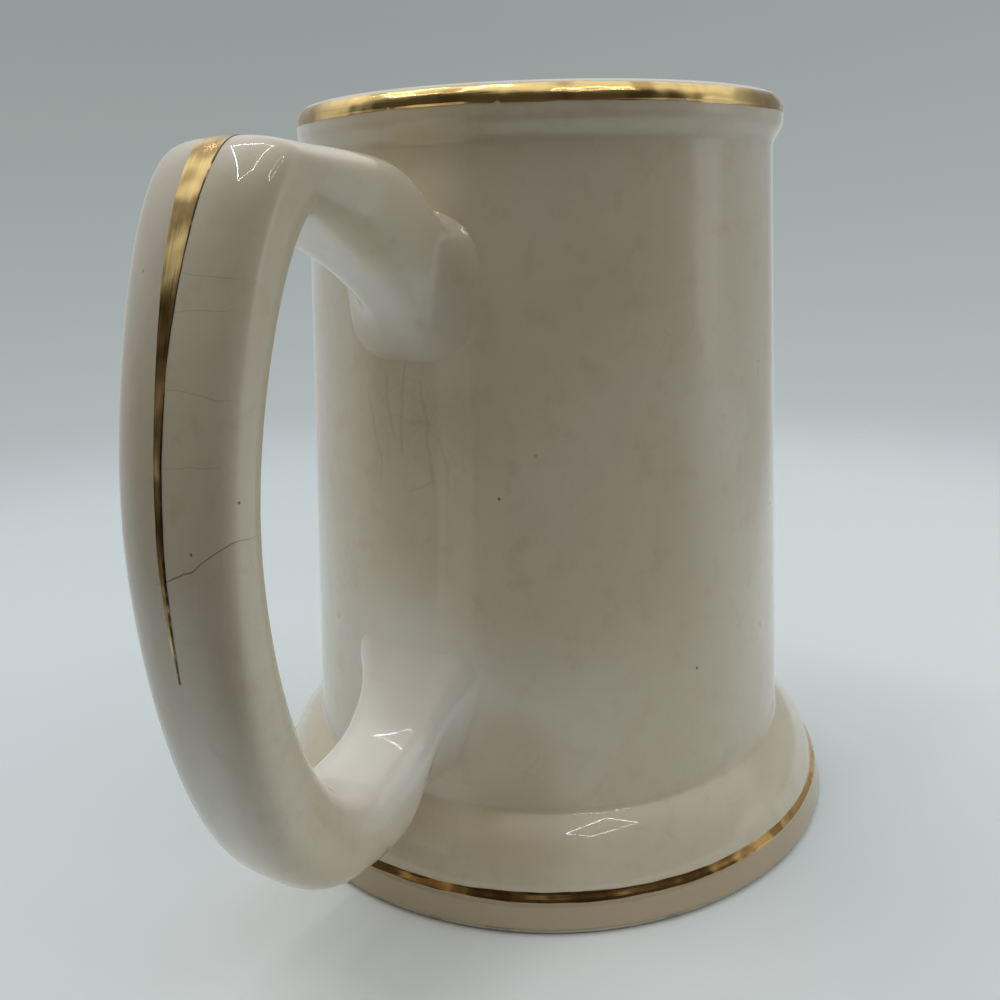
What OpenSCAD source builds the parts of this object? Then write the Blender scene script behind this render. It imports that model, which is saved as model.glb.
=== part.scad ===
// Ceramic tankard mug: a slip-cast body with a flared foot and a rolled lip, a D handle luted on
// with slip, a glaze coat over everything but the foot ring, and three bands of gold lustre.
// Millimetres, +Z up. The origin is on the mug's axis, at the plane that it stands on.
// The handle is on the +X side.

/* [Body] */
// Height to the top of the rim
mug_h = 125.4; // [105:0.1:160]
// Outer radius of the wall where it meets the lip
wall_top_r = 39.4; // [34:0.1:44]
// Outer radius of the wall where it meets the foot
wall_foot_r = 44.9; // [40:0.1:50]
// Thickness of the wall, glaze included
wall_t = 4.6; // [3.6:0.1:6]

/* [Lip] */
// How far the rolled lip stands out from the wall
lip_out = 1.45; // [0.5:0.05:3]
// Height of the rolled lip, from the wall to the rim
lip_h = 7.8; // [7:0.1:12]
// Height over which the wall swells into the lip
lip_swell_h = 3.6; // [2:0.1:4]
// Rounding of the rim's outer edge
rim_round = 2.6; // [1.5:0.1:3]
// Rounding of the rim's inner edge
mouth_round = 2.2; // [1:0.1:2.6]

/* [Foot] */
// Height of the crease between the wall and the foot
foot_h = 16.1; // [14:0.1:20]
// Radius of the foot's rounded shoulder, in section
shoulder_round = 15.6; // [13:0.1:30]
// Radius of the cove that glaze fills at the crease
cove_round = 1.6; // [0.8:0.1:3]
// How far the shoulder's lower edge stands out from the wall's foot
shoulder_out = 7.2; // [5:0.1:9]
// Height of the shoulder's lower edge
step_h = 6.3; // [5.6:0.1:7.5]
// How far the plinth's top stands out from the shoulder's lower edge
step_out = 0.8; // [0.3:0.05:1.5]
// Height of the plinth under the shoulder
plinth_h = 5.4; // [3:0.1:5.5]
// How far the plinth's base stands out from its top
plinth_flare = 1.4; // [0:0.1:2.5]
// Rounding of the plinth's lower edge
base_round = 0.9; // [0.4:0.1:1.1]
// Width of the bare ring that the mug stands on
foot_ring_w = 6; // [4:0.5:10]
// Depth of the hollow inside the foot ring
recess_d = 2.2; // [1:0.1:3]
// Thickness of the floor, glaze included
floor_t = 4.8; // [4:0.1:6.5]
// Rounding between the floor and the wall inside
floor_round = 2; // [1:0.1:3]

/* [Handle] */
// Drop from the rim to the handle's crest
crest_drop = 7.6; // [5:0.1:14]
// Distance from the wall out to the crest
crest_out = 32.2; // [26:0.1:38]
// Thickness of the handle under its crest
crest_depth = 9.6; // [8:0.1:13]
// How far the crest of the finger side lies nearer the wall than the crest of the back
crest_lean = 6.2; // [4:0.1:9]
// Greatest distance from the wall out to the handle's back
handle_out = 46.1; // [42:0.1:56]
// Thickness of the grip, front to back
grip_depth = 9.5; // [8:0.1:13]
// Height of the handle's heel above the table
heel_h = 16.7; // [12:0.1:20]
// Distance from the wall out to the heel
heel_out = 25; // [20:0.1:30]
// Thickness of the handle above its heel
heel_depth = 11.3; // [10:0.1:15]
// How far the heel of the finger side lies nearer the wall than the heel of the back
heel_lean = 10.1; // [6:0.1:12]
// Drop from the rim to the top of the upper root
upper_root_drop = 20.4; // [19:0.1:30]
// Height of the upper root on the wall
upper_root_h = 17.2; // [12:0.1:20]
// Height of the lower root's underside above the table
lower_root_z = 22.3; // [21:0.1:28]
// Height of the lower root on the wall
lower_root_h = 18.4; // [14:0.1:21]
// Width of the handle's back at the upper root
root_back_w = 20.2; // [16:0.1:26]
// Width of the handle's back at its crest
crest_back_w = 23.2; // [18:0.1:28]
// Width of the handle's back at the grip
grip_back_w = 19.7; // [14:0.1:26]
// Width of the handle's back at its heel
heel_back_w = 18.4; // [13:0.1:24]
// Width of the handle's underside at its upper root
root_under_w = 11.6; // [10:0.1:25]
// Width of the handle's underside at its crest
crest_under_w = 19.6; // [16:0.1:26]
// Width of the finger side of the grip
grip_under_w = 18.2; // [12:0.1:24]
// Width of the handle's upper side at its heel
heel_under_w = 17; // [13:0.1:24]
// Width of the handle's lower side at its lower root
lower_back_w = 9; // [6:0.1:22]
// Width of the handle's upper side at its lower root
lower_under_w = 20.4; // [12:0.1:26]
// Squareness of the handle's section: 2 is an ellipse, 4 is nearly a rectangle
squareness = 3; // [2:0.1:4]

/* [Slip joints] */
// How far the slip spreads along the wall round each root of the handle
slip_spread = 2.8; // [2:0.1:5]
// How far the slip climbs up each arm of the handle
slip_climb = 8.4; // [5:0.1:12]

/* [Glaze and gold] */
// Thickness of the glaze coat
glaze_t = 0.35; // [0.2:0.05:0.6]
// Height of the glaze's lower edge above the table
glaze_edge_h = 1.3; // [1.2:0.1:2]
// Thickness that stands for the gold lustre
gold_t = 0.1; // [0.05:0.05:0.3]
// Height of the gold band below the start of the rim's rounding
rim_gold_h = 0.35; // [0.2:0.05:1.5]
// How far the rim's gold climbs round the rim's rounding, in degrees
rim_gold_arc = 50; // [20:1:85]
// Width of the handle's gold stripe at the crest
stripe_w = 5; // [1:0.1:6]
// Width of the handle's gold stripe at its tip
stripe_tip_w = 0.3; // [0.2:0.1:1]

/* [Hidden] */

$fn = 96;
ARC_STEPS = 8;          // straight steps in each arc of a profile
SECTION_POINTS = 24;    // points round the handle's section
ARM_STEPS = 10;         // rings along each arm of the handle
GRIP_STEPS = 11;        // rings along each half of the grip
STRIPE_STEPS = 2;       // rings of the grip's lower half that the gold stripe reaches

ring_chamfer = 0.5;     // chamfer on the inner edge of the foot ring

CLAY = [0.93, 0.90, 0.84];
GLAZE = [0.90, 0.86, 0.77];
GOLD = [0.83, 0.62, 0.24];

// Radii and heights that follow from the sizes above
neck_z = mug_h - lip_h;
lip_r = wall_top_r + lip_out;
rim_c = [lip_r - rim_round, mug_h - rim_round];
mouth_r = wall_top_r - wall_t;
mouth_c = [mouth_r + mouth_round, mug_h - mouth_round];
rim_mid_r = (rim_c.x + mouth_c.x) / 2;
step_r = wall_foot_r + shoulder_out;
plinth_r = step_r + step_out;
base_r = plinth_r + plinth_flare;
recess_r = base_r - glaze_t - base_round - foot_ring_w;
floor_z = recess_d + floor_t;

// ---- Profiles ----

// Outer radius of the straight wall at height z
function wall_r(z) = wall_foot_r + (wall_top_r - wall_foot_r) * (z - foot_h) / (neck_z - foot_h);

// Outer radius of the plinth at height z
function plinth_at(z) = base_r + (plinth_r - base_r) * (z - base_round) / (plinth_h - base_round);

// A step from 0 to 1 with level ends
function ease(t) = t * t * (3 - 2 * t);

function reversed(points) = [for (i = [len(points) - 1 : -1 : 0]) points[i]];

// Direction at an angle, and the angle of the direction from p to q
function toward(a) = [cos(a), sin(a)];
function angle_to(p, q) = atan2(q.y - p.y, q.x - p.x);

// Points of an arc about c, from angle a0 to a1
function arc(c, r, a0, a1) =
    [for (i = [0 : ARC_STEPS]) c + r * toward(a0 + (a1 - a0) * i / ARC_STEPS)];

// Centre of the circle of radius r through p and q, on the side nearer the mug's axis
function centre_through(p, q, r) =
    let (half = norm(q - p) / 2, along = (q - p) / norm(q - p))
    (p + q) / 2 + sqrt(r * r - half * half) * [-along.y, along.x];

// The shoulder's arc, and the cove's arc that touches both it and the wall
shoulder_c = centre_through([step_r, step_h], [wall_foot_r, foot_h], shoulder_round);
cove_r = wall_foot_r + cove_round;
cove_c = [
    cove_r,
    shoulder_c.y + sqrt(pow(shoulder_round + cove_round, 2) - pow(cove_r - shoulder_c.x, 2))
];
cove_a = angle_to(cove_c, shoulder_c);
shoulder_top_a = cove_a + 180;
shoulder_low_a = angle_to(shoulder_c, [step_r, step_h]);

// The rounding inside, between the floor and the hollow of the foot, as large as fits there
hollow_r = shoulder_round - wall_t;
floor_fillet = min(
    floor_round,
    (hollow_r * sin(shoulder_top_a) + shoulder_c.y - floor_z) / (1 + sin(shoulder_top_a))
);
fillet_z = floor_z + floor_fillet;
fillet_c = [
    shoulder_c.x + sqrt(pow(hollow_r - floor_fillet, 2) - pow(fillet_z - shoulder_c.y, 2)),
    fillet_z
];
fillet_a = angle_to(shoulder_c, fillet_c);

// The outside from the plinth's top up to the rim's crown, at a depth under the glazed surface
function outer_line(depth) = concat(
    [[plinth_r - depth, plinth_h]],
    arc(shoulder_c, shoulder_round - depth, shoulder_low_a, shoulder_top_a),
    arc(cove_c, cove_round + depth, cove_a, -180),
    [for (i = [0 : ARC_STEPS])
        let (t = i / ARC_STEPS)
        [wall_top_r + lip_out * ease(t) - depth, neck_z + lip_swell_h * t]],
    arc(rim_c, rim_round - depth, 0, 90)
);

// The inside from the rim's crown down to the middle of the floor
function inner_line(depth) = concat(
    arc(mouth_c, mouth_round - depth, 90, 180),
    [[mouth_r + depth, neck_z]],
    arc(cove_c, cove_round + wall_t - depth, -180, cove_a),
    arc(shoulder_c, hollow_r + depth, shoulder_top_a, fillet_a),
    arc(fillet_c, floor_fillet + depth, fillet_a, -90),
    [[0, floor_z - depth]]
);

// The outside filled solid down to the glaze's edge, for trimming what is luted to the wall
module filled_body(depth) {
    rotate_extrude()
        polygon(concat([[0, glaze_edge_h], [plinth_at(glaze_edge_h) - depth, glaze_edge_h]],
                       outer_line(depth), [[0, mug_h - depth]]));
}

// ---- The handle's sweep ----

// Depth of each root's end inside the wall's surface, and how far the sweep runs on from there
root_sink = wall_t / 4;
root_bury = 2 * wall_t;

// Ends, turning points and directions of travel of the handle's back, from the upper root down
crest_z = mug_h - crest_drop;
grip_z = (crest_z + heel_h) / 2;
upper_root_z = mug_h - upper_root_drop;
back_points = [
    [wall_r(upper_root_z) - root_sink, upper_root_z],
    [wall_top_r + crest_out, crest_z],
    [wall_r(grip_z) + handle_out, grip_z],
    [wall_foot_r + heel_out, heel_h],
    [wall_r(lower_root_z) - root_sink, lower_root_z]
];
back_angles = [57, 5, -90, -171, -206];
// Pull of each curve at its start and its end, as a share of the distance that it spans
back_pulls = [[0.45, 0.65], [0.13, 0.39], [0.33, 0.3], [0.75, 0.48]];

// The same for the finger side
under_root_z = upper_root_z - upper_root_h;
lower_top_z = lower_root_z + lower_root_h;
under_points = [
    [wall_r(under_root_z) - root_sink, under_root_z],
    [back_points[1].x - crest_lean, crest_z - crest_depth],
    [back_points[2].x - grip_depth, grip_z],
    [back_points[3].x - heel_lean, heel_h + heel_depth],
    [wall_r(lower_top_z) - root_sink, lower_top_z]
];
under_angles = [66, 20, -90, -195, -229];
under_pulls = [[0.35, 0.37], [0.07, 0.54], [0.49, 0.23], [0.51, 0.63]];

// Widths at those five stations, on the back and on the finger side
back_widths = [root_back_w, crest_back_w, grip_back_w, heel_back_w, lower_back_w];
under_widths = [root_under_w, crest_under_w, grip_under_w, heel_under_w, lower_under_w];

// Point at t on the cubic curve of one span
function on_span(points, angles, pulls, span, t) =
    let (
        p = points[span],
        q = points[span + 1],
        reach = norm(q - p),
        a = p + reach * pulls[span][0] * toward(angles[span]),
        b = q - reach * pulls[span][1] * toward(angles[span + 1]),
        u = 1 - t
    )
    u * u * u * p + 3 * u * u * t * a + 3 * u * t * t * b + t * t * t * q;

// Spread of the slip at a distance from the root
function slip_at(distance) = slip_spread * pow(max(0, 1 - distance / slip_climb), 2);

// One station of the sweep: back point, finger-side point, half widths, spread of the slip
function station(span, t) =
    let (
        back = on_span(back_points, back_angles, back_pulls, span, t),
        under = on_span(under_points, under_angles, under_pulls, span, t),
        root = span == 0 ? 0 : 4,
        from_root = norm((back + under - back_points[root] - under_points[root]) / 2),
        on_arm = span == 0 || span == 3
    )
    [
        back,
        under,
        (back_widths[span] + (back_widths[span + 1] - back_widths[span]) * ease(t)) / 2,
        (under_widths[span] + (under_widths[span + 1] - under_widths[span]) * ease(t)) / 2,
        on_arm ? slip_at(from_root) : 0
    ];

// A station carried on into the wall, back along the direction in which the sweep leaves it
function buried(s, back_a, under_a) =
    [s[0] + root_bury * toward(back_a), s[1] + root_bury * toward(under_a), s[2], s[3], s[4]];

stations = concat(
    [buried(station(0, 0), back_angles[0] + 180, under_angles[0] + 180)],
    [for (i = [0 : ARM_STEPS - 1]) station(0, i / ARM_STEPS)],
    [for (i = [0 : GRIP_STEPS - 1]) station(1, i / GRIP_STEPS)],
    [for (i = [0 : GRIP_STEPS - 1]) station(2, i / GRIP_STEPS)],
    [for (i = [0 : ARM_STEPS]) station(3, i / ARM_STEPS)],
    [buried(station(3, 1), back_angles[4], under_angles[4])]
);
last_station = len(stations) - 1;
crest_station = 1 + ARM_STEPS;

// The arms' stations from each buried end up to where the slip runs out
upper_stations = [for (i = [0 : crest_station]) if (stations[i][4] > 0) i];
upper_joint_end = upper_stations[len(upper_stations) - 1] + 1;
lower_stations = [for (i = [crest_station : last_station]) if (stations[i][4] > 0) i];
lower_joint_end = lower_stations[0] - 1;

// Points of the section at a station: a rounded box, grown by the slip and sunk by depth
function section(s, depth, slip) =
    let (
        grow = (slip ? s[4] : 0) - depth,
        across = (s[0] - s[1]) / norm(s[0] - s[1]),
        back = s[0] + grow * across,
        under = s[1] - grow * across
    )
    [for (j = [0 : SECTION_POINTS - 1])
        let (
            c = cos(360 * j / SECTION_POINTS),
            n = sin(360 * j / SECTION_POINTS),
            r = pow(pow(abs(c), squareness) + pow(abs(n), squareness), -1 / squareness),
            share = (1 + r * c) / 2,
            middle = under + (back - under) * share,
            half_w = s[3] + (s[2] - s[3]) * share + grow
        )
        [middle.x, half_w * r * n, middle.y]];

// Triangles of a skin over rings of points, starting at vertex first. Each four-sided patch is parted
// along the same diagonal on every skin, so that skins at different depths never cross
function skin(rings, first, outward) = [
    for (k = [0 : rings - 2], j = [0 : SECTION_POINTS - 1], far_half = [false, true])
        let (
            a = first + k * SECTION_POINTS + j,
            b = first + k * SECTION_POINTS + (j + 1) % SECTION_POINTS,
            opposite = b + SECTION_POINTS,
            triangle = far_half ? [a, opposite, a + SECTION_POINTS] : [a, b, opposite]
        )
        outward ? triangle : reversed(triangle)
];

// The handle as one solid, over a range of stations
module sweep(depth, slip, first = 0, last = last_station) {
    rings = last - first + 1;
    points = [for (i = [first : last]) each section(stations[i], depth, slip)];
    near_end = [for (j = [0 : SECTION_POINTS - 1]) SECTION_POINTS - 1 - j];
    far_end = [for (j = [0 : SECTION_POINTS - 1]) (rings - 1) * SECTION_POINTS + j];
    polyhedron(points, concat([near_end], skin(rings, 0, true), [far_end]), convexity = 6);
}

// The wall between two sweeps, closed at both ends by a ring of quads
module sleeve(outer_depth, outer_slip, inner_depth, inner_slip, first, last) {
    rings = last - first + 1;
    outer = [for (i = [first : last]) each section(stations[i], outer_depth, outer_slip)];
    inner = [for (i = [first : last]) each section(stations[i], inner_depth, inner_slip)];
    inner_first = rings * SECTION_POINTS;
    near_end = [for (j = [0 : SECTION_POINTS - 1])
        let (n = (j + 1) % SECTION_POINTS)
        [n, j, inner_first + j, inner_first + n]];
    far_end = [for (j = [0 : SECTION_POINTS - 1])
        let (n = (j + 1) % SECTION_POINTS, ring = (rings - 1) * SECTION_POINTS)
        [ring + j, ring + n, inner_first + ring + n, inner_first + ring + j]];
    polyhedron(concat(outer, inner),
               concat(near_end, skin(rings, 0, true), skin(rings, inner_first, false), far_end),
               convexity = 8);
}

// ---- The pieces ----

// Slip-cast clay: wall, rolled lip, floor, hollow flared foot and the bare ring under it
module mug_body() {
    underside = [
        [0, recess_d + glaze_t],
        [recess_r, recess_d + glaze_t],
        [recess_r, ring_chamfer],
        [recess_r + ring_chamfer, 0]
    ];
    edge = arc([base_r - glaze_t - base_round, base_round], base_round, -90, 0);
    color(CLAY)
    rotate_extrude()
        polygon(concat(underside, edge, outer_line(glaze_t), inner_line(glaze_t)));
}

// The D handle, cast by itself and trimmed to the curve of the wall
module handle() {
    color(CLAY)
    difference() {
        sweep(glaze_t, false);
        filled_body(glaze_t);
    }
}

// The slip that lutes an arm of the handle to the wall, over a range of stations
module slip_joint(first, last) {
    color(CLAY)
    difference() {
        sleeve(glaze_t, true, glaze_t, false, first, last);
        filled_body(glaze_t);
    }
}

module upper_slip_joint() {
    slip_joint(0, upper_joint_end);
}

module lower_slip_joint() {
    slip_joint(lower_joint_end, last_station);
}

// Glaze over the outside, open where the two roots of the handle stand on the clay
module outer_glaze() {
    lower_edge = [[plinth_at(glaze_edge_h), glaze_edge_h]];
    clay_edge = [[plinth_at(glaze_edge_h) - glaze_t, glaze_edge_h]];
    crown = [[rim_mid_r, mug_h], [rim_mid_r, mug_h - glaze_t]];
    color(GLAZE)
    difference() {
        rotate_extrude()
            polygon(concat(lower_edge, outer_line(0), crown, reversed(outer_line(glaze_t)), clay_edge));
        sweep(glaze_t, true, 0, upper_joint_end);
        sweep(glaze_t, true, lower_joint_end, last_station);
    }
}

// Glaze over the lining, from the rim's crown to the floor
module inner_glaze() {
    color(GLAZE)
    rotate_extrude()
        polygon(concat([[rim_mid_r, mug_h - glaze_t], [rim_mid_r, mug_h]], inner_line(0),
                       reversed(inner_line(glaze_t))));
}

// Glaze over the hollow under the foot
module underside_glaze() {
    color(GLAZE)
    translate([0, 0, recess_d])
        cylinder(h = glaze_t, r = recess_r);
}

// Glaze over the handle and its slip joints, trimmed to the glazed wall
module handle_glaze() {
    color(GLAZE)
    difference() {
        sleeve(0, true, glaze_t, true, 0, last_station);
        filled_body(0);
    }
}

// Gold lustre round the outside of the rim, up to the crown
module rim_gilding() {
    low_z = rim_c.y - rim_gold_h;
    color(GOLD)
    rotate_extrude()
        polygon(concat([[lip_r, low_z], [lip_r + gold_t, low_z]],
                       arc(rim_c, rim_round + gold_t, 0, rim_gold_arc),
                       arc(rim_c, rim_round, rim_gold_arc, 0)));
}

// Gold lustre on the step between the foot's shoulder and its plinth
module foot_gilding() {
    low = [plinth_r, plinth_h];
    high = [step_r, step_h];
    out = gold_t * [high.y - low.y, low.x - high.x] / norm(high - low);
    color(GOLD)
    rotate_extrude()
        polygon([low, low + out, high + out, high]);
}

// Gold lustre down the handle's back, from the crest, tapering to a point on the grip
module handle_gilding() {
    rows = [for (i = [crest_station : crest_station + GRIP_STEPS + STRIPE_STEPS]) i];
    top_z = stations[rows[0]][0].y;
    tip_z = stations[rows[len(rows) - 1]][0].y;
    points = [
        for (i = rows)
            let (
                s = stations[i],
                ring = section(s, 0, true),
                up = (s[0] - s[1]) / norm(s[0] - s[1]),
                lift = gold_t * [up.x, 0, up.y],
                share = pow((s[0].y - tip_z) / (top_z - tip_z), 2),
                half_w = (stripe_tip_w + (stripe_w - stripe_tip_w) * share) / 2,
                left = ring[0] + (ring[1] - ring[0]) * half_w / ring[1].y,
                right = [left.x, -left.y, left.z]
            )
            each [right, ring[0], left, left + lift, ring[0] + lift, right + lift]
    ];
    ROW = 6;
    sides = [
        for (k = [0 : len(rows) - 2], j = [0 : ROW - 1])
            let (a = k * ROW + j, b = k * ROW + (j + 1) % ROW)
            [a, a + ROW, b + ROW, b]
    ];
    end = (len(rows) - 1) * ROW;
    color(GOLD)
    polyhedron(points, concat([[for (j = [0 : ROW - 1]) j]], sides,
                              [[for (j = [0 : ROW - 1]) end + ROW - 1 - j]]), convexity = 4);
}

mug_body();
handle();
upper_slip_joint();
lower_slip_joint();
outer_glaze();
inner_glaze();
underside_glaze();
handle_glaze();
rim_gilding();
foot_gilding();
handle_gilding();
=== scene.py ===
"""Looks of a shaving mug: a cream-glazed tankard with gold lustre on rim, foot and handle.

The clay stays as the frame has it. Every glazed or gilded surface is worked out here as arrays, in
millimetres, on the same outline as the clay, and turned into metres when its mesh is made.
"""
import logging
import math
from dataclasses import dataclass
from enum import Enum
from typing import Optional, Union

import bmesh
import bpy
import numpy as np
from mathutils import Matrix, Vector


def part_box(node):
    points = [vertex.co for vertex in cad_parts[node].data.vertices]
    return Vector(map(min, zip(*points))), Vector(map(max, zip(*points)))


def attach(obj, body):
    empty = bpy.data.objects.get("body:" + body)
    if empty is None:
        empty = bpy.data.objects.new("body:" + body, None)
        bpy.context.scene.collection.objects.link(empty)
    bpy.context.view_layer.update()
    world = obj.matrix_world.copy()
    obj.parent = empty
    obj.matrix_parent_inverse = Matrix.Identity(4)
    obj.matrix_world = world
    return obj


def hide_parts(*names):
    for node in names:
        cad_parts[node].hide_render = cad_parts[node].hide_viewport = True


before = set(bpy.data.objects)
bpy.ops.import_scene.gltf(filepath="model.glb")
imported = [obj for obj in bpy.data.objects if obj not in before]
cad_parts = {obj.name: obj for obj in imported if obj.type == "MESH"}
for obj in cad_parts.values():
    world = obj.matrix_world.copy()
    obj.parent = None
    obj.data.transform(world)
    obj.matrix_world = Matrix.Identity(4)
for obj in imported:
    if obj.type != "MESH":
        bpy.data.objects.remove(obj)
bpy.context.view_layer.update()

MM = 0.001
FULL_TURN = 2.0 * math.pi
SMOOTH_ANGLE = math.radians(35.0)

# Distances in a mesh, in metres, under which points are one point and an edge is none.
MERGE_DISTANCE = 1e-7
THIN_EDGE = 1e-8

# The least length that a vector is divided by, and the steps that directions are measured over:
# in stations or radians on the handle, in millimetres along the body's outline.
TINY = 1e-12
SMALL_STEP = 1e-4
TANGENT_STEP = 0.05

# The handle's last station, and the millimetres to a station on the straight runs beyond its ends.
LAST_STATION = 4
RUN_PER_STATION = 60.0

# Numbers of a Mix node's sockets for colours, which share their names with its sockets for numbers.
MIX_FACTOR, MIX_UNDER, MIX_OVER, MIX_RESULT = 0, 6, 7, 2

Array = np.ndarray
Colour = tuple[float, float, float]
Place = tuple[float, float, float]
Waves = tuple[tuple[float, float, float, float], ...]
Ripples = tuple[tuple[int, float, float], ...]
Socket = bpy.types.NodeSocket

UP: Place = (0.0, 0.0, 1.0)

log = logging.getLogger("shaving_mug")


# ---------------------------------------------------------------- arithmetic on arrays


def ease(share: Array) -> Array:
    """A step from 0 to 1 with level ends: 3 t^2 - 2 t^3, held outside the step."""
    held = np.clip(share, 0.0, 1.0)
    return held * held * (3.0 - 2.0 * held)


def arc(centre: tuple[float, float], radius: float, start: float, end: float, steps: int) -> Array:
    """Points of a circle's arc.

    Args:
        centre: Radius and height of the circle's centre.
        radius: The circle's radius.
        start: Angle of the first point, in degrees.
        end: Angle of the last point, in degrees.
        steps: Number of straight steps.

    Returns:
        Points, one row each: centre + radius * (cos a, sin a).
    """
    angles = np.radians(np.linspace(start, end, steps + 1))
    return np.stack([centre[0] + radius * np.cos(angles), centre[1] + radius * np.sin(angles)], axis=1)


def lengths_along(line: Array) -> Array:
    """Distance of each point of a line from its first point, measured along the line."""
    steps = np.linalg.norm(np.diff(line, axis=0), axis=1)
    return np.concatenate([[0.0], np.cumsum(steps)])


def ripple(angle: Array, waves: Ripples) -> Array:
    """Sum of waves along a line; with angles round a turn it closes on itself.

    Args:
        angle: Angles in radians, or places along the line.
        waves: For each wave, its count in a full turn, its height and its phase.

    Returns:
        The sum of height * sin(count * angle + phase).
    """
    total = np.zeros_like(angle)
    for count, height, phase in waves:
        total = total + height * np.sin(count * angle + phase)
    return total


def rolling(first: Array, second: Array, waves: Waves) -> Array:
    """Slow uneven waves over a surface, from 0 to 1.

    Args:
        first: One measure of each point of the surface, such as its angle.
        second: The other measure, such as its height.
        waves: For each wave, its height, its pace in the first and in the second measure, and its phase.

    Returns:
        0.5 + 0.5 * the sum of height * sin(pace * first + pace * second + phase) / the sum of the heights.
    """
    total = sum(height * np.sin(pace * first + other * second + phase)
                for height, pace, other, phase in waves)
    return 0.5 + 0.5 * total / sum(wave[0] for wave in waves)


def unit(vectors: Array) -> Array:
    """Vectors divided by their lengths."""
    return vectors / np.maximum(np.linalg.norm(vectors, axis=-1, keepdims=True), TINY)


# ---------------------------------------------------------------- meshes


def quads(rows: int, columns: int, around: bool, first: int = 0) -> Array:
    """Vertex numbers of the quads of a grid of points.

    Args:
        rows: Number of rows of points.
        columns: Number of points in a row.
        around: Whether the last column joins the first.
        first: Number of the grid's first vertex.

    Returns:
        Four vertex numbers a quad, in rings from one row to the next.
    """
    spans = columns if around else columns - 1
    row, column = np.meshgrid(np.arange(rows - 1), np.arange(spans), indexing="ij")
    nearby = (column + 1) % columns
    corners = [row * columns + column, row * columns + nearby,
               (row + 1) * columns + nearby, (row + 1) * columns + column]
    return first + np.stack(corners, axis=-1).reshape(-1, 4)


def border(rows: int, columns: int, around: bool) -> list[Array]:
    """Vertex numbers along the open edges of a grid.

    Args:
        rows: Number of rows of points.
        columns: Number of points in a row.
        around: Whether the last column joins the first.

    Returns:
        One array an edge, each of which ends where it starts.
    """
    numbers = np.arange(rows * columns).reshape(rows, columns)
    if around:
        return [np.append(numbers[0], numbers[0, 0]), np.append(numbers[-1], numbers[-1, 0])]
    loop = np.concatenate([numbers[0], numbers[1:, -1], numbers[-1, -2::-1], numbers[-2::-1, 0]])
    return [loop]


def shell(name: str, outside: Array, inside: Array, around: bool) -> bpy.types.Object:
    """A closed piece between two grids of points, joined along their open edges.

    Points that coincide, as at a pole, are merged, and faces that shrink to a line are dropped.

    Args:
        name: Name of the piece.
        outside: Points of the outer surface, rows by columns by 3, in millimetres.
        inside: Points of the inner surface, in the same order.
        around: Whether the last column joins the first.

    Returns:
        The piece's object, at the origin, in metres.
    """
    rows, columns = outside.shape[:2]
    offset = rows * columns
    points = np.concatenate([outside.reshape(-1, 3), inside.reshape(-1, 3)]) * MM
    faces = [quads(rows, columns, around), quads(rows, columns, around, offset)[:, ::-1]]
    for edge in border(rows, columns, around):
        faces.append(np.stack([edge[1:], edge[:-1], edge[:-1] + offset, edge[1:] + offset], axis=1))
    mesh = bpy.data.meshes.new(name)
    mesh.from_pydata(points, [], np.concatenate(faces))
    work = bmesh.new()
    work.from_mesh(mesh)
    bmesh.ops.remove_doubles(work, verts=work.verts, dist=MERGE_DISTANCE)
    bmesh.ops.dissolve_degenerate(work, edges=work.edges, dist=THIN_EDGE)
    bmesh.ops.recalc_face_normals(work, faces=work.faces)
    work.to_mesh(mesh)
    work.free()
    mesh.shade_smooth()
    mesh.set_sharp_from_angle(angle=SMOOTH_ANGLE)
    piece = bpy.data.objects.new(name, mesh)
    bpy.context.scene.collection.objects.link(piece)
    return piece


# ---------------------------------------------------------------- shader nodes


class Value:
    """A node socket used as a number: each operator adds the Math node that works it out."""

    def __init__(self, graph: "Graph", socket: Socket) -> None:
        """Keeps the socket and the graph that new nodes go into."""
        self.graph = graph
        self.socket = socket

    def _math(self, operation: str, *terms: Union["Value", float]) -> "Value":
        """Adds one Math node over the given terms, in order."""
        node = self.graph.node("ShaderNodeMath", {"operation": operation}, dict(enumerate(terms)))
        return Value(self.graph, node.outputs[0])

    def __add__(self, other: Union["Value", float]) -> "Value":
        """self + other."""
        return self._math("ADD", self, other)

    def __radd__(self, other: float) -> "Value":
        """other + self."""
        return self._math("ADD", other, self)

    def __sub__(self, other: Union["Value", float]) -> "Value":
        """self - other."""
        return self._math("SUBTRACT", self, other)

    def __rsub__(self, other: float) -> "Value":
        """other - self."""
        return self._math("SUBTRACT", other, self)

    def __mul__(self, other: Union["Value", float]) -> "Value":
        """self * other."""
        return self._math("MULTIPLY", self, other)

    def __rmul__(self, other: float) -> "Value":
        """other * self."""
        return self._math("MULTIPLY", other, self)

    def __abs__(self) -> "Value":
        """Distance from zero."""
        return self._math("ABSOLUTE", self)

    def higher(self, other: Union["Value", float]) -> "Value":
        """The greater of the two."""
        return self._math("MAXIMUM", self, other)

    def step(self, low: float, high: float) -> "Value":
        """A smooth step from 0 to 1.

        Args:
            low: Where it is 0. It may be the greater of the two.
            high: Where it is 1.

        Returns:
            3 t^2 - 2 t^3, with t the share of the way from low to high, held outside.
        """
        settings = {"interpolation_type": "SMOOTHSTEP"}
        if low < high:
            sockets = {"Value": self, "From Min": low, "From Max": high}
            node = self.graph.node("ShaderNodeMapRange", settings, sockets)
            return Value(self.graph, node.outputs["Result"])
        return 1.0 - self.step(high, low)


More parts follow.
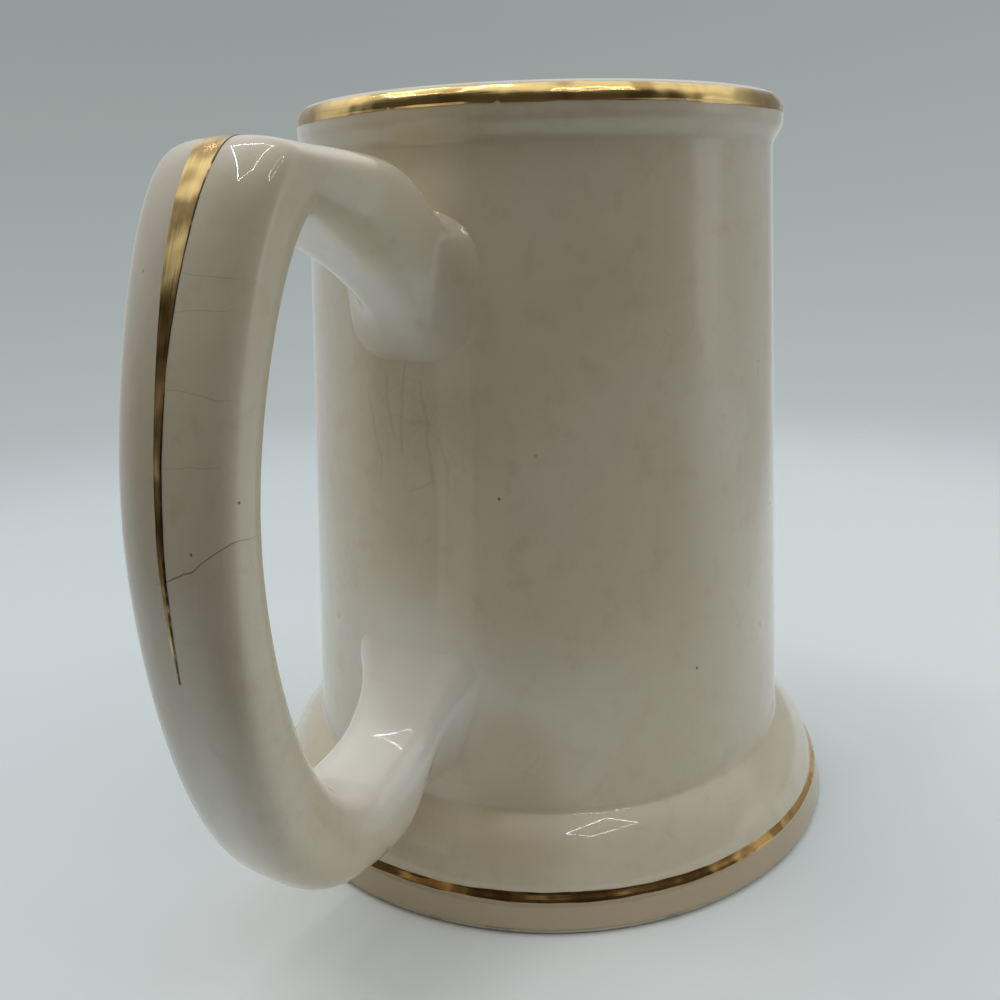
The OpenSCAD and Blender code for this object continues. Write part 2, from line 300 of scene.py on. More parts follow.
class Graph:
    """The nodes of one material, with the sums and patterns that the finishes are made of."""

    def __init__(self, tree: bpy.types.NodeTree, system: str = "Object", scale: float = 1.0 / MM) -> None:
        """Empties the tree and finds the coordinates that its patterns follow.

        Args:
            tree: The node tree to fill.
            system: The Texture Coordinate node's output to read.
            scale: What to multiply it by: millimetres from metres, unless told otherwise.
        """
        self.tree = tree
        tree.nodes.clear()
        coordinates = self.node("ShaderNodeTexCoord").outputs[system]
        self.place = self.vector("SCALE", {0: coordinates, "Scale": scale})

    def node(self, kind: str, settings: Optional[dict] = None,
             sockets: Optional[dict] = None) -> bpy.types.Node:
        """Adds one node.

        Args:
            kind: The node's type.
            settings: The node's own settings, such as its operation; a ramp's stops are
                given as "stops", a list of positions and colours.
            sockets: Values or links for its input sockets, by name or number.

        Returns:
            The node.
        """
        made = self.tree.nodes.new(kind)
        for name, setting in (settings or {}).items():
            if name == "stops":
                for number, (position, colour) in enumerate(setting):
                    ramp = made.color_ramp.elements
                    stop = ramp[number] if number < 2 else ramp.new(position)
                    stop.position = position
                    stop.color = (*colour, 1.0)
            else:
                setattr(made, name, setting)
        for key, given in (sockets or {}).items():
            if isinstance(given, Value):
                given = given.socket
            if isinstance(given, Socket):
                self.tree.links.new(given, made.inputs[key])
            else:
                made.inputs[key].default_value = given
        return made

    def vector(self, operation: str, sockets: dict) -> Socket:
        """Adds a Vector Math node and returns its vector."""
        return self.node("ShaderNodeVectorMath", {"operation": operation}, sockets).outputs["Vector"]

    def stretched(self, scale: Place) -> Socket:
        """The place multiplied along X, Y and Z, for a pattern drawn out along some of them."""
        return self.vector("MULTIPLY", {0: self.place, 1: scale})

    def noise(self, size: float, detail: float = 2.0, place: Optional[Socket] = None,
              roughness: float = 0.5) -> Value:
        """Cloudy noise about 0.5.

        Args:
            size: Width of its blotches, in the units of place.
            detail: Number of finer layers.
            place: Where to read it; the object's place in millimetres if left out.
            roughness: Strength of the finer layers.

        Returns:
            The noise, mostly from 0.3 to 0.7.
        """
        sockets = {
            "Vector": place or self.place, "Scale": 1.0 / size, "Detail": detail, "Roughness": roughness}
        return Value(self, self.node("ShaderNodeTexNoise", {}, sockets).outputs[0])

    def warped(self, size: float, reach: float) -> Socket:
        """The place pushed about by noise.

        Args:
            size: Width of the noise's blotches, in millimetres.
            reach: How far it pushes at most, in millimetres.

        Returns:
            The place + 2 * reach * (noise - 0.5), along X, Y and Z.
        """
        sockets = {"Vector": self.place, "Scale": 1.0 / size, "Detail": 2.0}
        swirl = self.node("ShaderNodeTexNoise", {}, sockets).outputs["Color"]
        centred = self.vector("SUBTRACT", {0: swirl, 1: (0.5, 0.5, 0.5)})
        push = self.vector("SCALE", {0: centred, "Scale": 2.0 * reach})
        return self.vector("ADD", {0: self.place, 1: push})

    def cracks(self, size: float, width: float, place: Socket) -> Value:
        """A net of fine lines between cells.

        Args:
            size: Width of the cells, in millimetres.
            width: Distance from a line's middle at which it is gone.
            place: Where to read it.

        Returns:
            1 on a line, 0 off it.
        """
        sockets = {"Vector": place, "Scale": 1.0 / size}
        edge = self.node("ShaderNodeTexVoronoi", {"feature": "DISTANCE_TO_EDGE"}, sockets).outputs["Distance"]
        return Value(self, edge).step(width / size, 0.0)

    def measured(self, operation: str, place: Optional[Socket], other: Place) -> Value:
        """Adds a Vector Math node that gives a number.

        Args:
            operation: What it works out.
            place: Where to read it; the object's place in millimetres if left out.
            other: The fixed vector to measure against.

        Returns:
            The number.
        """
        sockets = {0: place or self.place, 1: other}
        node = self.node("ShaderNodeVectorMath", {"operation": operation}, sockets)
        return Value(self, node.outputs["Value"])

    def distance(self, centre: Place, place: Optional[Socket] = None) -> Value:
        """Distance from a point, in millimetres."""
        return self.measured("DISTANCE", place, centre)

    def along(self, direction: Place, place: Optional[Socket] = None) -> Value:
        """The place measured along a direction."""
        return self.measured("DOT_PRODUCT", place, direction)

    def tint(self, base: Union[Colour, Socket], over: Colour, factor: Value) -> Socket:
        """A colour laid over another.

        Args:
            base: The colour underneath, or the socket that gives it.
            over: The colour on top.
            factor: How far the upper one hides the lower, from 0 to 1.

        Returns:
            The socket with base + (over - base) * factor.
        """
        under = base if isinstance(base, Socket) else (*base, 1.0)
        settings = {"data_type": "RGBA", "clamp_factor": True}
        sockets = {MIX_FACTOR: factor, MIX_UNDER: under, MIX_OVER: (*over, 1.0)}
        return self.node("ShaderNodeMix", settings, sockets).outputs[MIX_RESULT]

    def bump(self, height: Value, depth: float) -> Socket:
        """A surface normal bent by a height from 0 to 1 that stands for a depth in millimetres."""
        sockets = {"Height": height, "Distance": depth * MM, "Strength": 1.0}
        return self.node("ShaderNodeBump", {}, sockets).outputs["Normal"]

    def surface(self, sockets: dict) -> None:
        """Ends the graph in a Principled surface with the given sockets."""
        shader = self.node("ShaderNodeBsdfPrincipled", {}, sockets)
        self.node("ShaderNodeOutputMaterial", {}, {"Surface": shader.outputs["BSDF"]})


def new_material(name: str) -> tuple[bpy.types.Material, Graph]:
    """Makes an empty node material.

    Args:
        name: The material's name.

    Returns:
        The material, and the graph to build it with.
    """
    material = bpy.data.materials.new(name)
    material.use_nodes = True
    return material, Graph(material.node_tree)


# ---------------------------------------------------------------- finishes


@dataclass(frozen=True)
class Wash:
    """How something comes in with a pattern: not at all where that is low, at strength where it is high."""

    low: float
    high: float
    strength: float = 1.0

    def share(self, pattern: Value) -> Value:
        """How far it has come in, as the pattern says."""
        return pattern.step(self.low, self.high) * self.strength


@dataclass(frozen=True)
class Crack:
    """A hairline crack, where a plane cuts the glaze near a point.

    Sizes are in millimetres: the crack runs for reach on either side of its centre.
    """

    centre: Place
    across: Place
    reach: float
    width: float
    strength: float
    whole: float = 0.6

    def mask(self, graph: Graph, place: Socket) -> Value:
        """Where the crack shows.

        Args:
            graph: The graph of the material it runs through.
            place: Where to read it, so that it can wander.

        Returns:
            Its strength on the crack, fading out sideways over its width and lengthways
            beyond the whole share of its reach.
        """
        direction = Vector(self.across).normalized()
        line = abs(graph.along(tuple(direction), place) - direction.dot(self.centre)).step(self.width, 0.0)
        return line * graph.distance(self.centre).step(self.reach, self.whole * self.reach) * self.strength


@dataclass(frozen=True)
class Patch:
    """A round area in which something shows, in millimetres, and how strongly."""

    centre: Place
    radius: float
    strength: float
    whole: float = 0.35

    def mask(self, graph: Graph, place: Socket) -> Value:
        """Its strength in the middle, fading out to nothing at its radius."""
        return graph.distance(self.centre, place).step(self.radius, self.whole * self.radius) * self.strength


@dataclass(frozen=True)
class GlazeFinish:
    """Warm ivory glaze: glossy, softly mottled, finely crazed, with a few specks and stains.

    Sizes are in millimetres. At the handle's two roots it is painted lighter, as painted light, and it is
    darker towards its lowest part.
    """

    ivory: Colour = (0.76, 0.69, 0.53)
    tan: Colour = (0.60, 0.48, 0.31)
    low_tone: Colour = (0.545, 0.435, 0.285)
    pale: Colour = (0.82, 0.78, 0.66)
    # Painted light: the pale tone laid on the handle's roots.
    painted_light_tone: Colour = (0.93, 0.90, 0.82)
    stain: Colour = (0.20, 0.13, 0.07)
    speck: Colour = (0.05, 0.035, 0.025)
    warp_size: float = 9.0
    warp_reach: float = 1.6
    cloud_size: float = 30.0
    fleck_size: float = 4.0
    craze_size: float = 5.0
    craze_width: float = 0.12
    craze_patch_size: float = 24.0
    swell_size: float = 13.0
    dimple_size: float = 2.2
    dimple_share: float = 0.3
    relief: float = 0.16
    smooth: float = 0.24
    roughened: float = 0.12
    clouded: Wash = Wash(0.45, 0.75, 0.28)
    cleared: Wash = Wash(0.52, 0.3, 0.45)
    flecked: Wash = Wash(0.48, 0.78, 0.30)
    craze_shown: Wash = Wash(0.5, 0.7, 0.07)
    darker_below: Wash = Wash(5.8, 4.8)
    crazed: tuple[Patch, ...] = (
        Patch((41.5, 0.9, 77.5), 13.5, 0.10), Patch((40.6, 18.3, 23.1), 8.0, 0.12),
        Patch((-10.0, 39.0, 60.0), 16.0, 0.14), Patch((-34.0, -22.0, 96.0), 15.0, 0.15),
        Patch((6.0, -42.5, 40.0), 14.0, 0.14))
    # Painted light: lighter patches on the handle's lower and upper roots, standing in for light that falls
    # there.
    painted_light_roots: tuple[Patch, ...] = (
        Patch((55.0, 2.0, 37.0), 24.0, 0.95), Patch((50.0, 4.0, 92.0), 15.0, 0.7))
    # Real stains, and on the foot's shoulder below the handle two broad tan patches that are partly brownish
    # mottling and partly painted shade from the handle.
    stains_and_shade: tuple[Patch, ...] = (
        Patch((30.7, 27.4, 84.9), 3.2, 0.18), Patch((43.0, 19.5, 14.3), 12.0, 0.55),
        Patch((41.0, 17.0, 24.0), 13.0, 0.5), Patch((-24.0, 33.0, 70.0), 9.0, 0.3),
        Patch((-44.0, -14.0, 18.0), 12.0, 0.4), Patch((0.0, 0.0, 6.8), 24.0, 0.35))
    cracked: tuple[Crack, ...] = (
        Crack((86.6, 5.0, 71.3), (-0.034, 0.432, -0.901), 7.8, 0.14, 0.75),
        Crack((81.6, 4.5, 102.4), (0.0, 0.05, 1.0), 6.0, 0.09, 0.3),
        Crack((82.7, 5.1, 98.8), (0.0, -0.06, 1.0), 5.0, 0.09, 0.25),
        Crack((85.0, 4.6, 90.4), (0.0, 0.04, 1.0), 6.0, 0.09, 0.3),
        Crack((86.4, 4.9, 82.5), (0.0, -0.03, 1.0), 5.0, 0.09, 0.25),
        Crack((41.2, -6.2, 74.7), (-0.14, -0.98, -0.14), 9.0, 0.40, 0.10),
        Crack((41.2, -2.8, 80.5), (-0.06, -0.99, -0.14), 6.0, 0.45, 0.12),
        Crack((41.3, -0.2, 80.5), (0.0, -1.0, 0.07), 8.5, 0.45, 0.15),
        Crack((41.4, 3.9, 76.8), (0.1, -0.99, -0.11), 9.5, 0.45, 0.14),
        Crack((41.3, 6.4, 73.4), (0.16, -0.97, -0.2), 6.0, 0.40, 0.10),
        Crack((41.4, 2.3, 78.8), (0.05, 0.08, -1.0), 2.4, 0.40, 0.12),
        Crack((41.9, 2.6, 68.8), (0.04, 0.27, -0.96), 3.4, 0.40, 0.12),
        Crack((-31.0, 26.0, 100.0), (0.5, 0.6, 0.62), 9.0, 0.12, 0.4))
    specked: tuple[Patch, ...] = (
        Patch((39.34, 15.03, 67.66), 0.30, 0.85), Patch((36.66, 19.95, 74.18), 0.30, 0.35),
        Patch((19.51, 39.29, 37.16), 0.34, 0.8), Patch((87.73, 4.88, 72.74), 0.27, 0.8),
        Patch((84.12, 9.52, 78.5), 0.27, 0.8), Patch((81.31, -5.14, 103.27), 0.27, 0.6),
        Patch((85.61, -5.56, 41.11), 0.27, 0.6), Patch((-39.8, 8.0, 81.0), 0.4, 0.7),
        Patch((-20.0, -36.6, 62.0), 0.4, 0.7), Patch((-30.0, 31.5, 36.0), 0.4, 0.7),
        Patch((12.0, -5.0, 6.8), 0.5, 0.8))

    def dress(self, name: str) -> bpy.types.Material:
        """Makes the glaze's material.

        Args:
            name: The material's name.

        Returns:
            The material.
        """
        material, graph = new_material(name)
        wandering = graph.warped(self.warp_size, self.warp_reach)
        clouds = graph.noise(self.cloud_size, detail=3.0)
        flecks = graph.noise(self.fleck_size, detail=4.0, roughness=0.6)
        colour = graph.tint(self.ivory, self.tan, self.clouded.share(clouds))
        colour = graph.tint(colour, self.pale, self.cleared.share(clouds))
        colour = graph.tint(colour, self.tan, self.flecked.share(flecks))
        net = graph.cracks(self.craze_size, self.craze_width, wandering)
        shown = self.craze_shown.share(graph.noise(self.craze_patch_size))
        for patch in self.crazed:
            shown = shown + patch.mask(graph, wandering)
        colour = graph.tint(colour, self.stain, net * shown)
        marks = (
            (self.painted_light_tone, self.painted_light_roots, wandering), (self.tan, self.stains_and_shade, wandering),
            (self.stain, self.cracked, wandering), (self.speck, self.specked, graph.place))
        for tone, spots, place in marks:
            for spot in spots:
                colour = graph.tint(colour, tone, spot.mask(graph, place))
        # Darker towards the bottom, below the plinth's top.
        colour = graph.tint(colour, self.low_tone, self.darker_below.share(graph.along(UP)))
        swell = graph.noise(self.swell_size, detail=1.0) + self.dimple_share * graph.noise(self.dimple_size)
        graph.surface({
            "Base Color": colour,
            "Roughness": self.smooth + self.roughened * flecks,
            "Coat Weight": 1.0,
            "Coat Roughness": 0.015,
            "Coat IOR": 1.5,
            "Specular IOR Level": 0.2,
            "Normal": graph.bump(swell, self.relief),
        })
        return material


@dataclass(frozen=True)
class LustreFinish:
    """Fired gold lustre, brushed on: bright, streaked along the band, and darker in blotches,
    partly uneven lustre and partly painted dark reflection.

    Sizes are in millimetres. It is painted dark between pairs of heights and in patches, as
    painted dark reflections. It is darker beyond every edge, each given by a direction and an
    offset along it. It is rounded off over a width of edge_w above a height of edge_z.
    """

    bright: Colour = (0.90, 0.66, 0.28)
    deep: Colour = (0.44, 0.28, 0.10)
    dark_reflection: Colour = (0.26, 0.155, 0.055)
    dark_edge: Colour = (0.10, 0.06, 0.035)
    stretch: Place = (0.12, 0.12, 2.5)
    streak_size: float = 1.0
    blotch_size: float = 7.0
    swell_size: float = 5.0
    streak_relief: float = 0.05
    round_relief: float = 0.35
    relief: float = 0.4
    smooth: float = 0.12
    roughened: float = 0.14
    streaked: Wash = Wash(0.5, 0.72, 0.25)
    blotched: Wash = Wash(0.48, 0.62, 0.75)
    # Heights between which the gold is painted dark, as painted dark reflection.
    dark_reflection_bands: tuple[tuple[float, float], ...] = ()
    reflection_size: float = 2.0
    reflection_wander: float = 2.0
    reflection_fade: float = 0.8
    reflection_strength: float = 0.8
    edged: tuple[tuple[Place, float], ...] = ()
    edged_fade: float = 0.08
    dark_edge_size: float = 1.5
    dark_edge_shown: Wash = Wash(0.25, 0.5)
    dark_reflection_patches: tuple[Patch, ...] = ()
    edge_z: float = 0.0
    edge_w: float = 0.5

    def dress(self, name: str) -> bpy.types.Material:
        """Makes the gold's material.

        Args:
            name: The material's name.

        Returns:
            The material.
        """
        material, graph = new_material(name)
        streaks = graph.noise(self.streak_size, detail=3.0, place=graph.stretched(self.stretch))
        blotches = graph.noise(self.blotch_size)
        colour = graph.tint(self.bright, self.deep, self.streaked.share(streaks))
        # Darker blotches: partly uneven lustre and partly painted dark reflection.
        colour = graph.tint(colour, self.deep, self.blotched.share(blotches))
        height = graph.along(UP) + (graph.noise(self.reflection_size) - 0.5) * self.reflection_wander
        fade = self.reflection_fade
        # Painted dark reflections in bands between pairs of heights.
        for low, high in self.dark_reflection_bands:
            between = height.step(low - fade, low + fade) * height.step(high + fade, high - fade)
            colour = graph.tint(colour, self.dark_reflection, between * self.reflection_strength)
        # Painted dark reflections in round patches.
        for patch in self.dark_reflection_patches:
            colour = graph.tint(colour, self.dark_reflection, patch.mask(graph, graph.place))
        # Darker beyond the given edges, in noisy patches.
        if self.edged:
            beyond = self.dark_edge_shown.share(graph.noise(self.dark_edge_size))
            for direction, offset in self.edged:
                edge = (offset - self.edged_fade, offset + self.edged_fade)
                beyond = beyond * graph.along(direction).step(*edge)
            colour = graph.tint(colour, self.dark_edge, beyond)
        rounded = graph.along(UP).step(self.edge_z, self.edge_z + self.edge_w)
        swell = graph.noise(self.swell_size, detail=1.0)
        swell = swell + self.streak_relief * streaks + self.round_relief * rounded
        graph.surface({
            "Base Color": colour,
            "Metallic": 1.0,
            "Roughness": self.smooth + self.roughened * streaks,
            "Normal": graph.bump(swell, self.relief),
        })
        return material


@dataclass(frozen=True)
class BisqueFinish:
    """Fired clay left bare: matt, off-white, finely pitted, greyed where it has stood on shelves."""

    clay: Colour = (0.64, 0.58, 0.47)
    dirt: Colour = (0.33, 0.28, 0.22)
    grain_size: float = 0.5
    scuff_size: float = 6.0
    relief: float = 0.05
    smooth: float = 0.78
    roughened: float = 0.12
    scuffed: Wash = Wash(0.48, 0.72, 0.55)
    pitted: Wash = Wash(0.55, 0.75, 0.35)

    def dress(self, name: str) -> bpy.types.Material:
        """Makes the clay's material.

        Args:
            name: The material's name.

        Returns:
            The material.
        """
        material, graph = new_material(name)
        grain = graph.noise(self.grain_size, detail=3.0)
        scuffs = graph.noise(self.scuff_size, detail=4.0, roughness=0.65)
        colour = graph.tint(self.clay, self.dirt, self.scuffed.share(scuffs))
        colour = graph.tint(colour, self.dirt, self.pitted.share(grain))
        graph.surface({
            "Base Color": colour,
            "Roughness": self.smooth + self.roughened * grain,
            "Normal": graph.bump(grain, self.relief),
        })
        return material


# ---------------------------------------------------------------- shapes


@dataclass
class BodyShape:
    """The turned outline of the mug's body, in millimetres, and its slight unevenness."""

    height: float
    wall_top_r: float = 39.4
    wall_foot_r: float = 44.9
    wall: float = 4.6
    lip_out: float = 1.45
    lip_h: float = 7.8
    lip_swell_h: float = 3.6
    rim_round: float = 2.6
    mouth_round: float = 2.2
    foot_h: float = 16.1
    shoulder_round: float = 15.6
    cove_round: float = 1.6
    shoulder_out: float = 7.2
    step_h: float = 6.3
    step_out: float = 0.8
    plinth_h: float = 5.4
    plinth_flare: float = 1.4
    base_round: float = 0.9
    foot_ring_w: float = 6.0
    recess_depth: float = 2.2
    floor: float = 4.8
    floor_round: float = 2.0
    glaze: float = 0.35
    glaze_edge_h: float = 1.3
    unevenness: float = 0.2
    waves: Waves = (
        (1.0, 2.0, 0.0, 0.6), (0.7, 3.0, 0.035, 2.0), (0.6, 5.0, -0.05, 0.0), (0.5, 1.0, 0.11, 0.0))
    even_h: float = 6.0
    even_foot_fade: float = 12.0
    even_rim_fade: float = 10.0
    steps: int = 14
    plinth_points: int = 5
    lining_points: int = 20
    floor_points: int = 12

    def __post_init__(self) -> None:
        """Works out the radii, heights and arc centres that follow from the sizes."""
        self.neck_z = self.height - self.lip_h
        self.lip_r = self.wall_top_r + self.lip_out
        self.rim_c = (self.lip_r - self.rim_round, self.height - self.rim_round)
        self.mouth_r = self.wall_top_r - self.wall
        self.mouth_c = (self.mouth_r + self.mouth_round, self.height - self.mouth_round)
        self.crown_r = 0.5 * (self.rim_c[0] + self.mouth_c[0])
        self.step_r = self.wall_foot_r + self.shoulder_out
        self.plinth_r = self.step_r + self.step_out
        self.base_r = self.plinth_r + self.plinth_flare
        self.recess_r = self.base_r - self.glaze - self.base_round - self.foot_ring_w
        self.floor_z = self.recess_depth + self.floor
        self._place_shoulder()
        self._place_floor_corner()
        self.line = self.outline(0.0)
        self.line_lengths = lengths_along(self.line)

    def _place_shoulder(self) -> None:
        """Centres of the shoulder's arc, through its two ends, and of the cove that touches it."""
        low = np.array([self.step_r, self.step_h])
        high = np.array([self.wall_foot_r, self.foot_h])
        along = unit(high - low)
        half = 0.5 * np.linalg.norm(high - low)
        reach = math.sqrt(self.shoulder_round ** 2 - half ** 2)
        self.shoulder_c = tuple(0.5 * (low + high) + reach * np.array([-along[1], along[0]]))
        cove_r = self.wall_foot_r + self.cove_round
        rise = math.sqrt((self.shoulder_round + self.cove_round) ** 2 - (cove_r - self.shoulder_c[0]) ** 2)
        self.cove_c = (cove_r, self.shoulder_c[1] + rise)
        self.shoulder_low = math.degrees(math.atan2(low[1] - self.shoulder_c[1], low[0] - self.shoulder_c[0]))
        self.shoulder_high = math.degrees(math.atan2(rise, cove_r - self.shoulder_c[0]))

    def _place_floor_corner(self) -> None:
        """Centre of the rounding between the floor and the hollow of the foot, as large as fits."""
        self.hollow_r = self.shoulder_round - self.wall
        sine = math.sin(math.radians(self.shoulder_high))
        room = (self.hollow_r * sine + self.shoulder_c[1] - self.floor_z) / (1.0 + sine)
        self.corner = min(self.floor_round, room)
        rise = self.floor_z + self.corner - self.shoulder_c[1]
        reach = math.sqrt((self.hollow_r - self.corner) ** 2 - rise ** 2)
        self.corner_c = (self.shoulder_c[0] + reach, self.floor_z + self.corner)
        self.corner_high = math.degrees(math.atan2(rise, reach))

    def wall_radius(self, height: Array) -> Array:
        """Radius of the straight wall at a height."""
        share = (height - self.foot_h) / (self.neck_z - self.foot_h)
        return self.wall_foot_r + (self.wall_top_r - self.wall_foot_r) * share

    def outline(self, depth: float) -> Array:
        """The outside, from the glaze's lower edge up to the crown.

        Args:
            depth: Depth under the glazed surface.

        Returns:
            Radius and height of each point.
        """
        run = (self.glaze_edge_h - self.base_round) / (self.plinth_h - self.base_round)
        edge_r = self.base_r + (self.plinth_r - self.base_r) * run
        share = np.linspace(0.0, 1.0, self.steps + 1)
        swell = np.stack([self.wall_top_r + self.lip_out * ease(share) - depth,
                          self.neck_z + self.lip_swell_h * share], axis=1)
        wall_z = np.linspace(self.cove_c[1], self.neck_z, 2 * self.steps + 1)[1:-1]
        foot_r = self.cove_c[0] - self.cove_round
        wall_r = foot_r + (self.wall_top_r - foot_r) * (wall_z - wall_z[0]) / (self.neck_z - wall_z[0])
        return np.concatenate([
            np.linspace([edge_r - depth, self.glaze_edge_h], [self.plinth_r - depth, self.plinth_h],
                        self.plinth_points),
            arc(self.shoulder_c, self.shoulder_round - depth,
                self.shoulder_low, self.shoulder_high, 2 * self.steps),
            arc(self.cove_c, self.cove_round + depth, self.shoulder_high - 180.0, -180.0, self.steps)[1:],
            np.stack([wall_r - depth, wall_z], axis=1),
            swell,
            arc(self.rim_c, self.rim_round - depth, 0.0, 90.0, self.steps),
            [[self.crown_r, self.height - depth]],
        ])

    def lining(self, depth: float) -> Array:
        """The inside, from the crown down to the middle of the floor.

        Args:
            depth: Depth under the glazed surface.

        Returns:
            Radius and height of each point.
        """
        return np.concatenate([
            [[self.crown_r, self.height - depth]],
            arc(self.mouth_c, self.mouth_round - depth, 90.0, 180.0, self.steps),
            np.linspace([self.mouth_r + depth, self.neck_z],
                        [self.cove_c[0] - self.cove_round - self.wall + depth, self.cove_c[1]],
                        self.lining_points)[:-1],
            arc(self.cove_c, self.cove_round + self.wall - depth,
                -180.0, self.shoulder_high - 180.0, self.steps),
            arc(self.shoulder_c, self.hollow_r + depth,
                self.shoulder_high, self.corner_high, self.steps)[1:],
            arc(self.corner_c, self.corner + depth, self.corner_high, -90.0, self.steps)[1:],
            np.linspace([self.corner_c[0], self.floor_z - depth], [0.0, self.floor_z - depth],
                        self.floor_points)[1:],
        ])

    def unevenness_at(self, angle: Array, height: Array) -> Array:
        """How far the surface lies inside its true outline, as on any ware from a plaster mould.

        Args:
            angle: Angle round the body.
            height: Height above the table.

        Returns:
            Long slow waves round and up the wall, which die out at the foot's edge and the rim.
        """
        above_foot = ease((height - self.even_h) / self.even_foot_fade)
        below_rim = ease((self.height - self.even_h - height) / self.even_rim_fade)
        return self.unevenness * rolling(angle, height, self.waves) * above_foot * below_rim

    def turned(self, radius: Array, height: Array, angle: Array) -> Array:
        """Points on the uneven body.

        Args:
            radius: Radius of each point on the true outline.
            height: Height of each point.
            angle: Angle of each point. The three broadcast together.

        Returns:
            X, Y and Z of each point.
        """
        true_r = np.maximum(radius - self.unevenness_at(angle, height), 0.0) * np.sign(np.abs(radius))
        spread = np.broadcast_arrays(true_r * np.cos(angle), true_r * np.sin(angle), height + 0.0 * angle)
        return np.stack(spread, axis=-1)

    def revolve(self, line: Array, columns: int) -> Array:
        """A line carried round the axis, rows by columns by 3."""
        angle = np.linspace(0.0, FULL_TURN, columns, endpoint=False)[None, :]
        return self.turned(line[:, :1], line[:, 1:], angle)

    def length_at(self, height: float) -> float:
        """Distance along the outline at which it first reaches a height."""
        return float(np.interp(height, np.maximum.accumulate(self.line[:, 1]), self.line_lengths))

    def band(self, low: Array, high: Array, rows: int, lift: float) -> Array:
        """Points of a band round the body.

        Args:
            low: Distance along the outline of the band's lower edge, for each angle.
            high: The same for its upper edge.
            rows: Number of rows across the band.
            lift: Distance of the points outside the glaze.

        Returns:
            Rows by columns by 3, for angles that go once round.
        """
        angle = np.linspace(0.0, FULL_TURN, low.size, endpoint=False)[None, :]
        share = np.linspace(0.0, 1.0, rows)[:, None]
        length = low[None, :] + (high - low)[None, :] * share
        radius = np.interp(length, self.line_lengths, self.line[:, 0])
        height = np.interp(length, self.line_lengths, self.line[:, 1])
        nearby = length + TANGENT_STEP
        tangent_r = np.interp(nearby, self.line_lengths, self.line[:, 0]) - radius
        tangent_z = np.interp(nearby, self.line_lengths, self.line[:, 1]) - height
        scale = lift / np.maximum(np.hypot(tangent_r, tangent_z), TINY)
        return self.turned(radius + tangent_z * scale, height - tangent_r * scale, angle)


@dataclass
class Rail:
    """One side of the handle: four cubic curves through five stations, in the handle's plane.

    The stations run from the upper root over the crest, the grip and the heel to the lower root.
    At each the curve has an angle, in degrees, and on each span it has two pulls, which are the
    shares of the span's length that its inner control points stand off its ends.
    """

    points: Array
    angles: Array
    pulls: Array

    def at(self, station: Array) -> Array:
        """The curve at some stations, and straight on beyond either end.

        Args:
            station: Stations, of which those from 0 to the last lie on the curve.

        Returns:
            Radius and height of each. On a span the curve is the sum of its four control
            points by the cubic weights.
        """
        held = np.clip(station, 0.0, LAST_STATION)
        span = np.minimum(held.astype(int), LAST_STATION - 1)
        share = (held - span)[..., None]
        start, end = self.points[span], self.points[span + 1]
        reach = np.linalg.norm(end - start, axis=-1, keepdims=True)
        leave, arrive = np.radians(self.angles[span]), np.radians(self.angles[span + 1])
        first = start + reach * self.pulls[span, :1] * np.stack([np.cos(leave), np.sin(leave)], axis=-1)
        second = end - reach * self.pulls[span, 1:] * np.stack([np.cos(arrive), np.sin(arrive)], axis=-1)
        rest = 1.0 - share
        on_curve = (rest ** 3 * start + 3 * rest ** 2 * share * first
                    + 3 * rest * share ** 2 * second + share ** 3 * end)
        beyond = station - held
        heading = np.radians(np.where(beyond < 0.0, self.angles[0], self.angles[LAST_STATION]))
        run = RUN_PER_STATION * beyond[..., None] * np.stack([np.cos(heading), np.sin(heading)], axis=-1)
        return on_curve + run


